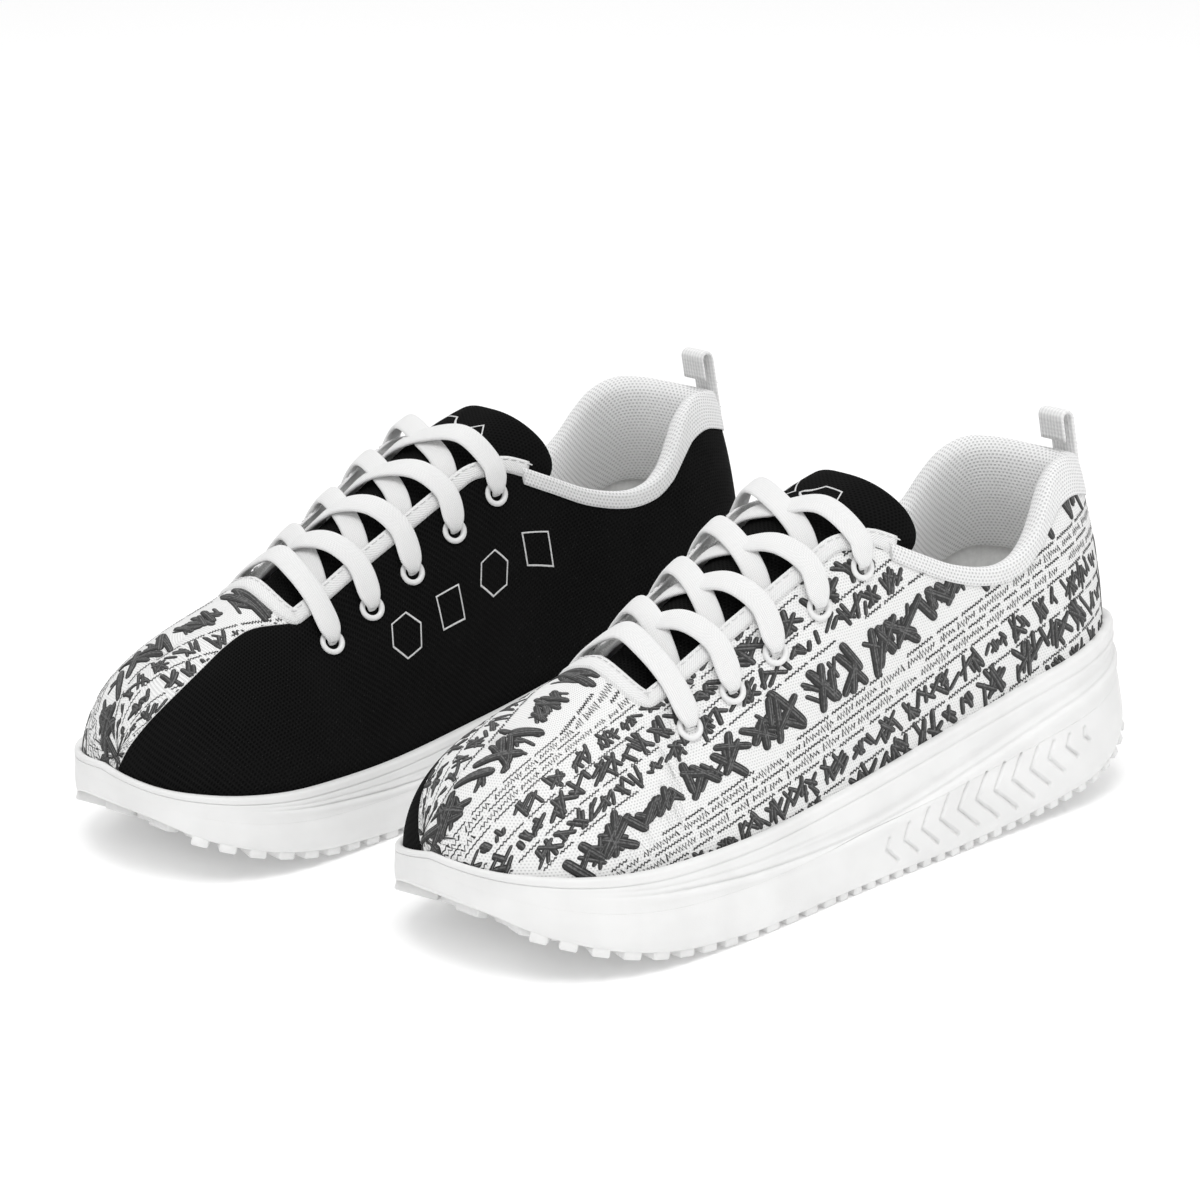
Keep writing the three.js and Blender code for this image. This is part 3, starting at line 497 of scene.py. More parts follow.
@dataclass
class Workshop:
    """Turns shapes into pieces for both shoes and fixes them to the frame."""

    spacing: float = 147.5
    right_lead: float = 17.5
    stances: list[Stance] = field(default_factory=list)

    def __post_init__(self) -> None:
        """Reads where the left shoe's toe stands."""
        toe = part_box("left_printed_upper")[0].x / MM - Last.TOE_X
        half = self.spacing / 2
        self.stances = [
            Stance("left", False, 0.0, -half, toe),
            Stance("right", True, self.right_lead, half, toe),
        ]

    def mesh(self, name: str, shape: Shape, stance: Stance, sheet: bool) -> bpy.types.Object:
        """Makes the shape's object for one shoe.

        Args:
            name: The object's name.
            shape: The shape, in the shoe's frame.
            stance: The shoe.
            sheet: Whether the shape is an open sheet, whose faces turn away from the foot.

        Returns:
            The new object.
        """
        data = bpy.data.meshes.new(name)
        faces = np.vstack(shape.faces)
        plain = [tuple(dict.fromkeys(face)) for face in faces.tolist()]
        kept = [i for i, face in enumerate(plain) if len(face) > 2]
        data.from_pydata(stance.place(np.vstack(shape.points)).tolist(), [], [plain[i] for i in kept])
        layer = data.uv_layers.new(name=CLOTH_UV)
        corners = np.zeros(len(data.loops), np.int32)
        data.loops.foreach_get("vertex_index", corners)
        layer.data.foreach_set("uv", np.vstack(shape.uvs)[corners].astype(np.float32).ravel())
        data.polygons.foreach_set("material_index", np.concatenate(shape.paints)[kept].astype(np.int32))
        work = bmesh.new()
        work.from_mesh(data)
        bmesh.ops.remove_doubles(work, verts=work.verts, dist=2e-6)
        bmesh.ops.dissolve_degenerate(work, edges=work.edges, dist=1e-7)
        bmesh.ops.recalc_face_normals(work, faces=work.faces)
        if sheet:
            core = np.array([0.0, stance.aside, 50.0]) * MM
            facing = sum(
                f.normal.y * (f.calc_center_median().y - core[1]) + f.normal.z * (f.calc_center_median().z - core[2])
                for f in work.faces
            )
            if facing < 0:
                bmesh.ops.reverse_faces(work, faces=work.faces)
        for face in work.faces:
            face.smooth = True
        work.to_mesh(data)
        work.free()
        obj = bpy.data.objects.new(name, data)
        bpy.context.scene.collection.objects.link(obj)
        return obj

    def make(
        self,
        piece: str,
        shape: Shape,
        finishes: Sequence[bpy.types.Material],
        part: Part = Part.SHOE,
        stands_for: Iterable[str] = (),
        thickness: float = 0.0,
    ) -> None:
        """Makes a piece for both shoes.

        Args:
            piece: The piece's name, after the shoe's.
            shape: Its shape, in the shoe's frame.
            finishes: Materials, by paint number.
            part: The body that it rides on.
            stands_for: CAD nodes that it replaces, without the shoe's name.
            thickness: The wall that an open sheet is given inwards; its inner face takes the next paint.
        """
        for stance in self.stances:
            obj = self.mesh(f"{stance.name}_{piece}_look", shape, stance, sheet=thickness > 0)
            for finish in finishes:
                obj.data.materials.append(finish)
            if thickness > 0:
                wall = obj.modifiers.new("wall", "SOLIDIFY")
                wall.thickness, wall.offset, wall.use_even_offset = thickness * MM, -1.0, True
                wall.material_offset = len(finishes) - 1
                applied(obj)
            self.fix(obj, stance, part, stands_for)

    def fix(
        self,
        obj: bpy.types.Object,
        stance: Stance,
        part: Part,
        stands_for: Iterable[str] = (),
    ) -> None:
        """Fixes a finished object to its body and hides the CAD nodes that it stands for."""
        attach(obj, f"{stance.name}_{part.value}")
        nodes = [f"{stance.name}_{node}" for node in stands_for]
        if nodes:
            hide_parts(*nodes)
        LOG.info("%s: %d faces", obj.name, len(obj.data.polygons))

    def repeat(
        self,
        piece: str,
        runs: Sequence[tuple[np.ndarray, np.ndarray, float]],
        block: bpy.types.Object,
        finish: bpy.types.Material,
        slot: str,
        part: Part = Part.SHOE,
        stands_for: Iterable[str] = (),
    ) -> None:
        """Sets copies of a small block along runs of points, for both shoes.

        Args:
            piece: The piece's name, after the shoe's.
            runs: For each run its points, their outward directions, and the spacing, 0 for one block a point.
            block: The block, at the origin, its length along x and its outer side up.
            finish: The material.
            slot: Not used.
            part: The body that it rides on.
            stands_for: CAD nodes that it replaces, without the shoe's name.
        """
        for stance in self.stances:
            name = f"{stance.name}_{piece}_look"
            merged = bmesh.new()
            for points, lay, spacing in runs:
                path = polyline(name + "_path", stance.place(points), stance.turn(lay), joined=spacing > 0)
                tree = repeater_tree(on_points=spacing == 0)
                modifier = path.modifiers.new("repeat", "NODES")
                modifier.node_group = tree
                values = {"Block": block, "Spacing": max(spacing, 0.1) * MM, "Finish": finish}
                for item in tree.interface.items_tree:
                    if item.in_out == "INPUT" and item.name in values:
                        modifier[item.identifier] = values[item.name]
                applied(path)
                merged.from_mesh(path.data)
                bpy.data.objects.remove(path)
            data = bpy.data.meshes.new(name)
            merged.to_mesh(data)
            merged.free()
            data.materials.clear()
            data.materials.append(finish)
            data.polygons.foreach_set("material_index", np.zeros(len(data.polygons), np.int32))
            obj = bpy.data.objects.new(name, data)
            bpy.context.scene.collection.objects.link(obj)
            self.fix(obj, stance, part, stands_for)


def applied(obj: bpy.types.Object) -> bpy.types.Object:
    """Turns an object's modifiers into a plain mesh.

    Args:
        obj: The object.

    Returns:
        The same object, with no modifiers left.
    """
    bpy.context.view_layer.update()
    graph = bpy.context.evaluated_depsgraph_get()
    evaluated = obj.evaluated_get(graph)
    data = bpy.data.meshes.new_from_object(evaluated, preserve_all_data_layers=True, depsgraph=graph)
    obj.modifiers.clear()
    obj.data = data
    return obj


def polyline(name: str, points: np.ndarray, lay: np.ndarray, joined: bool) -> bpy.types.Object:
    """Makes a line of points that carry their outward directions.

    Args:
        name: The object's name.
        points: The points, in metres.
        lay: Their outward directions.
        joined: Whether edges join them.

    Returns:
        The new object.
    """
    data = bpy.data.meshes.new(name)
    edges = [(i, i + 1) for i in range(len(points) - 1)] if joined else []
    data.from_pydata(points.tolist(), edges, [])
    data.attributes.new("lay", "FLOAT_VECTOR", "POINT").data.foreach_set("vector", lay.astype(np.float32).ravel())
    if not joined:
        along = unit(np.cross(lay, np.array([0.0, 1.0, 0.0])))
        data.attributes.new("along", "FLOAT_VECTOR", "POINT").data.foreach_set(
            "vector", along.astype(np.float32).ravel()
        )
    obj = bpy.data.objects.new(name, data)
    bpy.context.scene.collection.objects.link(obj)
    return obj


def repeater_tree(on_points: bool) -> bpy.types.NodeTree:
    """Builds, once, the tree that sets a block on points, or along a line at an even spacing.

    Args:
        on_points: Whether each point takes one block.

    Returns:
        The node tree.
    """
    name = "blocks on points" if on_points else "blocks along a line"
    if name in bpy.data.node_groups:
        return bpy.data.node_groups[name]
    tree = bpy.data.node_groups.new(name, "GeometryNodeTree")
    for label, kind in (
        ("Geometry", "NodeSocketGeometry"),
        ("Block", "NodeSocketObject"),
        ("Spacing", "NodeSocketFloat"),
        ("Finish", "NodeSocketMaterial"),
    ):
        tree.interface.new_socket(name=label, in_out="INPUT", socket_type=kind)
    tree.interface.new_socket(name="Geometry", in_out="OUTPUT", socket_type="NodeSocketGeometry")
    nodes, links = tree.nodes, tree.links
    entry, leave = nodes.new("NodeGroupInput"), nodes.new("NodeGroupOutput")
    lay = nodes.new("GeometryNodeInputNamedAttribute")
    lay.data_type = "FLOAT_VECTOR"
    lay.inputs["Name"].default_value = "lay"
    turn = nodes.new("FunctionNodeAxesToRotation")
    turn.primary_axis, turn.secondary_axis = "Z", "X"
    links.new(lay.outputs[0], turn.inputs[0])
    points = entry.outputs["Geometry"]
    if on_points:
        along = nodes.new("GeometryNodeInputNamedAttribute")
        along.data_type = "FLOAT_VECTOR"
        along.inputs["Name"].default_value = "along"
        links.new(along.outputs[0], turn.inputs[1])
    else:
        line, even, along = (
            nodes.new("GeometryNodeMeshToCurve"),
            nodes.new("GeometryNodeResampleCurve"),
            nodes.new("GeometryNodeInputTangent"),
        )
        even.mode = "LENGTH"
        links.new(points, line.inputs[0])
        links.new(line.outputs[0], even.inputs["Curve"])
        links.new(entry.outputs["Spacing"], even.inputs["Length"])
        links.new(along.outputs[0], turn.inputs[1])
        points = even.outputs[0]
    block, copies, solid, paint = (
        nodes.new("GeometryNodeObjectInfo"),
        nodes.new("GeometryNodeInstanceOnPoints"),
        nodes.new("GeometryNodeRealizeInstances"),
        nodes.new("GeometryNodeSetMaterial"),
    )
    links.new(entry.outputs["Block"], block.inputs["Object"])
    links.new(points, copies.inputs["Points"])
    links.new(block.outputs["Geometry"], copies.inputs["Instance"])
    links.new(turn.outputs[0], copies.inputs["Rotation"])
    links.new(copies.outputs[0], solid.inputs[0])
    links.new(solid.outputs[0], paint.inputs["Geometry"])
    links.new(entry.outputs["Finish"], paint.inputs["Material"])
    links.new(paint.outputs[0], leave.inputs[0])
    return tree


def small_block(name: str, size: tuple[float, float, float], round_by: float) -> bpy.types.Object:
    """Makes a hidden block with rounded edges, for repeating.

    Args:
        name: The object's name.
        size: Its length, width and height in millimetres, the height standing on z = 0.
        round_by: The rounding of its edges.

    Returns:
        The block.
    """
    work = bmesh.new()
    bmesh.ops.create_cube(work, size=1.0)
    bmesh.ops.scale(work, verts=work.verts, vec=[s * MM for s in size])
    bmesh.ops.translate(work, verts=work.verts, vec=(0, 0, size[2] * MM / 2))
    bmesh.ops.bevel(work, geom=work.edges[:], offset=round_by * MM, segments=1, affect="EDGES", profile=0.5)
    return hidden(name, work)


def hidden(name: str, work: bmesh.types.BMesh) -> bpy.types.Object:
    """Makes a block's object that only a repeater uses.

    Args:
        name: The object's name.
        work: Its mesh, which is freed.

    Returns:
        The object, linked nowhere.
    """
    for face in work.faces:
        face.smooth = True
    data = bpy.data.meshes.new(name)
    work.to_mesh(data)
    work.free()
    return bpy.data.objects.new(name, data)


def turned_ring(name: str, profile: Sequence[tuple[float, float]], sides: int) -> bpy.types.Object:
    """Turns a closed profile of (radius, height) about z into a hidden ring for repeating.

    Args:
        name: The object's name.
        profile: The closed profile, in millimetres.
        sides: Steps round.

    Returns:
        The ring.
    """
    work = bmesh.new()
    rings = []
    for k in range(sides):
        angle = 2 * math.pi * k / sides
        rings.append([work.verts.new((r * math.cos(angle) * MM, r * math.sin(angle) * MM, z * MM)) for r, z in profile])
    for k in range(sides):
        for i in range(len(profile)):
            j = (i + 1) % len(profile)
            work.faces.new((rings[k][i], rings[(k + 1) % sides][i], rings[(k + 1) % sides][j], rings[k][j]))
    bmesh.ops.recalc_face_normals(work, faces=work.faces)
    return hidden(name, work)


# ------------------------------------------------------------------ shader building
Value = "bpy.types.NodeSocket | float"


class Graph:
    """Adds nodes to a tree and joins them."""

    def __init__(self, tree: bpy.types.NodeTree) -> None:
        """Takes the tree."""
        self.tree = tree

    def node(self, kind: str, **settings: object) -> bpy.types.Node:
        """Adds a node with its settings."""
        made = self.tree.nodes.new(kind)
        made.location = (180 * (len(self.tree.nodes) % 12), -160 * (len(self.tree.nodes) // 12))
        for name, value in settings.items():
            setattr(made, name, value)
        return made

    def feed(self, socket: bpy.types.NodeSocket, value: Value) -> None:
        """Joins a socket to a value, or sets it."""
        if isinstance(value, bpy.types.NodeSocket):
            self.tree.links.new(value, socket)
        else:
            socket.default_value = value

    def math(self, operation: str, *values: Value, clamp: bool = False) -> bpy.types.NodeSocket:
        """Returns the result of one operation."""
        made = self.node("ShaderNodeMath", operation=operation, use_clamp=clamp)
        for socket, value in zip(made.inputs, values):
            self.feed(socket, value)
        return made.outputs[0]

    def ramp(
        self, value: Value, low: float, high: float, to_low: float = 0.0, to_high: float = 1.0
    ) -> bpy.types.NodeSocket:
        """Returns value mapped smoothly from one range onto another."""
        made = self.node("ShaderNodeMapRange", interpolation_type="SMOOTHSTEP")
        names = ("Value", "From Min", "From Max", "To Min", "To Max")
        for name, given in zip(names, (value, low, high, to_low, to_high)):
            self.feed(made.inputs[name], given)
        return made.outputs[0]

    def colour(self, share: Value, low: Sequence[float], high: Sequence[float]) -> bpy.types.NodeSocket:
        """Returns the colour a share of the way between two."""
        made = self.node("ShaderNodeMix", data_type="RGBA")
        self.feed(made.inputs[0], share)
        self.feed(made.inputs[6], (*low, 1.0) if not isinstance(low, bpy.types.NodeSocket) else low)
        self.feed(made.inputs[7], (*high, 1.0) if not isinstance(high, bpy.types.NodeSocket) else high)
        return made.outputs[2]

    def noise(self, vector: Value, scale: float, detail: float = 2.0) -> bpy.types.NodeSocket:
        """Returns soft noise."""
        made = self.node("ShaderNodeTexNoise")
        self.feed(made.inputs["Vector"], vector)
        made.inputs["Scale"].default_value = scale
        made.inputs["Detail"].default_value = detail
        return made.outputs["Fac"]

    def apart(self, vector: bpy.types.NodeSocket) -> tuple[bpy.types.NodeSocket, ...]:
        """Returns a vector's three values."""
        made = self.node("ShaderNodeSeparateXYZ")
        self.feed(made.inputs[0], vector)
        return tuple(made.outputs)

    def use(self, group: bpy.types.NodeTree, **values: Value) -> bpy.types.Node:
        """Places a node group with its inputs."""
        made = self.node("ShaderNodeGroup", node_tree=group)
        for name, value in values.items():
            self.feed(made.inputs[name.replace("_", " ")], value)
        return made


class Group(Graph):
    """A shader node group with named numbers in and named numbers out."""

    def __init__(self, name: str, inputs: Sequence[str], outputs: Sequence[str]) -> None:
        """Makes the empty group."""
        tree = bpy.data.node_groups.new(name, "ShaderNodeTree")
        for label in inputs:
            tree.interface.new_socket(name=label, in_out="INPUT", socket_type="NodeSocketFloat")
        for label in outputs:
            tree.interface.new_socket(name=label, in_out="OUTPUT", socket_type="NodeSocketFloat")
        super().__init__(tree)
        self.entry = tree.nodes.new("NodeGroupInput")
        self.leave = tree.nodes.new("NodeGroupOutput")

    def given(self, name: str) -> bpy.types.NodeSocket:
        """Returns an input's socket."""
        return self.entry.outputs[name]

    def give(self, name: str, value: bpy.types.NodeSocket) -> None:
        """Joins a value to an output."""
        self.tree.links.new(value, self.leave.inputs[name])


def group_once(name: str, build: Callable[[str], Group]) -> bpy.types.NodeTree:
    """Returns a node group, built the first time it is asked for."""
    return bpy.data.node_groups[name] if name in bpy.data.node_groups else build(name).tree


def hex_holes() -> bpy.types.NodeTree:
    """Returns the group for round holes set in a honeycomb, from cloth coordinates."""

    def build(name: str) -> Group:
        """Returns the group, filled."""
        g = Group(name, ("U", "V", "Pitch", "Radius"), ("Hole",))
        u = g.math("DIVIDE", g.given("U"), g.given("Pitch"))
        v = g.math("DIVIDE", g.given("V"), g.math("MULTIPLY", g.given("Pitch"), 1.732))

        def nearest(shift: float) -> bpy.types.NodeSocket:
            """Returns the distance to the nearest hole of one of the two lattices."""
            a = g.math("SUBTRACT", g.math("FRACT", g.math("ADD", u, shift)), 0.5)
            b = g.math("MULTIPLY", g.math("SUBTRACT", g.math("FRACT", g.math("ADD", v, shift)), 0.5), 1.732)
            return g.math("SQRT", g.math("ADD", g.math("MULTIPLY", a, a), g.math("MULTIPLY", b, b)))

        close = g.math("MINIMUM", nearest(0.0), nearest(0.5))
        g.give("Hole", g.ramp(g.math("DIVIDE", close, g.given("Radius")), 0.6, 1.25, 1.0, 0.0))
        return g

    return group_once("honeycomb holes", build)


def cross_weave() -> bpy.types.NodeTree:
    """Returns the group for the raised threads of a flat weave, from cloth coordinates."""

    def build(name: str) -> Group:
        """Returns the group, filled."""
        g = Group(name, ("U", "V", "Thread", "Lean"), ("Raised",))
        turn = g.math("MULTIPLY", g.math("ABSOLUTE", g.given("V")), g.given("Lean"))
        scale = g.math("DIVIDE", 2 * math.pi, g.given("Thread"))
        over = g.math("SINE", g.math("MULTIPLY", g.math("ADD", g.given("U"), turn), scale))
        under = g.math("SINE", g.math("MULTIPLY", g.given("V"), scale))
        g.give("Raised", g.ramp(g.math("ADD", over, g.math("MULTIPLY", under, 0.45)), -1.2, 1.2))
        return g

    return group_once("flat weave", build)


class Finish:
    """A material being made: a Principled shader with its constants set, and helpers for what varies."""

    def __init__(self, name: str, rough: float, sheen: float = 0.0) -> None:
        """Makes the material.

        Args:
            name: Its name.
            rough: Its roughness.
            sheen: The strength of its cloth sheen.
        """
        self.material = bpy.data.materials.new(name)
        self.material.use_nodes = True
        self.g = Graph(self.material.node_tree)
        self.shader = self.material.node_tree.nodes["Principled BSDF"]
        self.shader.inputs["Roughness"].default_value = rough
        self.shader.inputs["Sheen Weight"].default_value = sheen
        self.shader.inputs["Sheen Roughness"].default_value = 0.5
        self.shader.inputs["Specular IOR Level"].default_value = 0.3 if sheen else 0.45

    def cloth(self) -> tuple[bpy.types.NodeSocket, bpy.types.NodeSocket]:
        """Returns the cloth coordinates in millimetres."""
        made = self.g.node("ShaderNodeUVMap", uv_map=CLOTH_UV)
        u, v, _ = self.g.apart(made.outputs[0])
        return u, v

    def solid(self) -> bpy.types.NodeSocket:
        """Returns the place in space."""
        return self.g.node("ShaderNodeTexCoord").outputs["Object"]

    def paint(self, colour: bpy.types.NodeSocket) -> None:
        """Sets the colour."""
        self.g.feed(self.shader.inputs["Base Color"], colour)

    def roughen(self, value: bpy.types.NodeSocket) -> None:
        """Sets a varying roughness."""
        self.g.feed(self.shader.inputs["Roughness"], value)

    def raise_by(self, height: bpy.types.NodeSocket, millimetres: float) -> None:
        """Sets the relief."""
        made = self.g.node("ShaderNodeBump")
        made.inputs["Strength"].default_value = 1.0
        made.inputs["Distance"].default_value = millimetres * MM
        self.g.feed(made.inputs["Height"], height)
        self.g.feed(self.shader.inputs["Normal"], made.outputs[0])


@dataclass(frozen=True)
class Foam:
    """Moulded white foam, faintly mottled and finely grained."""

    name: str = "white moulded foam"
    light: tuple[float, float, float] = (0.86, 0.86, 0.855)
    shade: tuple[float, float, float] = (0.80, 0.80, 0.795)
    rough: float = 0.55

    def build(self) -> bpy.types.Material:
        """Returns the material."""
        f = Finish(self.name, self.rough)
        place = f.solid()
        mottle = f.g.noise(place, 45.0, 3.0)
        f.paint(f.g.colour(f.g.ramp(mottle, 0.3, 0.7), self.light, self.shade))
        grain = f.g.noise(place, 2600.0, 2.0)
        f.roughen(f.g.ramp(mottle, 0.2, 0.8, self.rough - 0.06, self.rough + 0.06))
        f.raise_by(grain, 0.03)
        return f.material


@dataclass(frozen=True)
class HoledMesh:
    """A knitted mesh with small holes in a honeycomb, the holes painted darker as painted shade inside them."""

    name: str
    thread: tuple[float, float, float]
    # The holes' colour is painted shade inside the openings.
    hole: tuple[float, float, float]
    pitch: float
    radius: float
    depth: float
    rough: float = 0.85
    sheen: float = 0.2
    shine: float = 0.3

    def build(self) -> bpy.types.Material:
        """Returns the material."""
        f = Finish(self.name, self.rough, self.sheen)
        f.shader.inputs["Specular IOR Level"].default_value = self.shine
        u, v = f.cloth()
        holes = f.g.use(hex_holes(), U=u, V=v, Pitch=self.pitch, Radius=self.radius).outputs["Hole"]
        wear = f.g.noise(f.solid(), 60.0, 3.0)
        # Painted shade: the holes are painted darker than the threads; the wear noise varies how dark, at random.
        hole_shade_and_wear = f.g.math("MULTIPLY", holes, f.g.ramp(wear, 0.3, 0.7, 0.75, 1.0))
        f.paint(f.g.colour(hole_shade_and_wear, self.thread, self.hole))
        f.roughen(f.g.ramp(wear, 0.25, 0.75, self.rough - 0.05, self.rough + 0.08))
        f.raise_by(f.g.math("SUBTRACT", 1.0, holes), self.depth)
        return f.material


@dataclass(frozen=True)
class Webbing:
    """White tape, lace or webbing with raised threads, the low parts between the threads painted darker as painted
    shade.
    """

    name: str
    thread: float
    lean: float
    depth: float
    # Colours of the raised threads and of the low parts between them; the darker low colour is painted shade.
    high: tuple[float, float, float] = (0.92, 0.92, 0.915)
    low: tuple[float, float, float] = (0.76, 0.76, 0.76)

    def build(self) -> bpy.types.Material:
        """Returns the material."""
        f = Finish(self.name, 0.8, 0.15)
        u, v = f.cloth()
        raised = f.g.use(cross_weave(), U=u, V=v, Thread=self.thread, Lean=self.lean).outputs["Raised"]
        fuzz = f.g.noise(f.solid(), 900.0, 2.0)
        # Painted shade: the weave's low parts are painted darker than its raised threads.
        f.paint(f.g.colour(f.g.math("MULTIPLY", raised, f.g.ramp(fuzz, 0.2, 0.6, 0.85, 1.0)), self.low, self.high))
        f.roughen(f.g.ramp(fuzz, 0.2, 0.8, 0.74, 0.88))
        f.raise_by(raised, self.depth)
        return f.material


@dataclass(frozen=True)
class Plain:
    """A matt or satin material with a fine grain."""

    name: str
    light: tuple[float, float, float]
    shade: tuple[float, float, float]
    rough: float
    grain: float = 500.0
    depth: float = 0.02
    sheen: float = 0.0

    def build(self) -> bpy.types.Material:
        """Returns the material."""
        f = Finish(self.name, self.rough, self.sheen)
        grain = f.g.noise(f.solid(), self.grain, 3.0)
        f.paint(f.g.colour(f.g.ramp(grain, 0.3, 0.7), self.light, self.shade))
        f.roughen(f.g.ramp(grain, 0.2, 0.8, self.rough - 0.05, self.rough + 0.07))
        f.raise_by(grain, self.depth)
        return f.material


def made(recipe: Foam | HoledMesh | Webbing | Plain) -> bpy.types.Material:
    """Returns a dataclass field that holds the material a recipe makes."""
    return field(default_factory=recipe.build)


@dataclass
class Finishes:
    """Every material, made once."""

    foam: bpy.types.Material = made(Foam())
    # The mesh's second colour is painted shade in its holes.
    printed: bpy.types.Material = made(
        HoledMesh("white knitted mesh", (0.88, 0.88, 0.875), (0.66, 0.66, 0.66), 1.0, 0.25, 0.14, 0.85, 0.1)
    )
    ink: bpy.types.Material = made(
        Plain("black print", (0.010, 0.010, 0.010), (0.022, 0.022, 0.022), 0.6, 900.0, 0.03)
    )
    grey: bpy.types.Material = made(Plain("grey print", (0.05, 0.05, 0.05), (0.15, 0.15, 0.15), 0.6, 1300.0, 0.06))
    dark: bpy.types.Material = made(
        Plain("dark grey print", (0.018, 0.018, 0.018), (0.05, 0.05, 0.05), 0.6, 1300.0, 0.06)
    )
    # The mesh's second colour is painted shade in its holes.
    black: bpy.types.Material = made(
        HoledMesh("black mesh", (0.0075, 0.0075, 0.0075), (0.002, 0.002, 0.002), 1.3, 0.3, 0.2, 0.9, 0.0, 0.06)
    )
    # The mesh's second colour is painted shade in its holes.
    lining: bpy.types.Material = made(
        HoledMesh("white air mesh", (0.89, 0.89, 0.89), (0.62, 0.62, 0.62), 1.25, 0.27, 0.22)
    )
    backing: bpy.types.Material = made(
        Plain("lining cloth", (0.82, 0.82, 0.81), (0.76, 0.76, 0.75), 0.9, 900.0, 0.05, 0.2)
    )
    # Each webbing's low colour is painted shade between its threads.
    tape: bpy.types.Material = made(Webbing("binding tape", 0.8, 1.0, 0.12))
    lace: bpy.types.Material = made(Webbing("lace weave", 0.62, 1.0, 0.08))
    ribbon: bpy.types.Material = made(Webbing("tab webbing", 1.3, 0.0, 0.16))
    plastic: bpy.types.Material = made(
        Plain("eyelet plastic", (0.84, 0.84, 0.835), (0.80, 0.80, 0.80), 0.38, 1500.0, 0.01)
    )
    thread: bpy.types.Material = made(
        Plain("white thread", (0.85, 0.85, 0.85), (0.68, 0.68, 0.68), 0.7, 4000.0, 0.03, 0.2)
    )
    outline: bpy.types.Material = made(
        Plain("white outline print", (0.80, 0.80, 0.80), (0.55, 0.55, 0.55), 0.6, 2500.0)
    )
    board: bpy.types.Material = made(Plain("fibre board", (0.62, 0.58, 0.47), (0.50, 0.46, 0.36), 0.9, 350.0, 0.1))
    stiff: bpy.types.Material = made(
        Plain("stiffener cloth", (0.80, 0.80, 0.79), (0.72, 0.72, 0.71), 0.85, 700.0, 0.05, 0.1)
    )


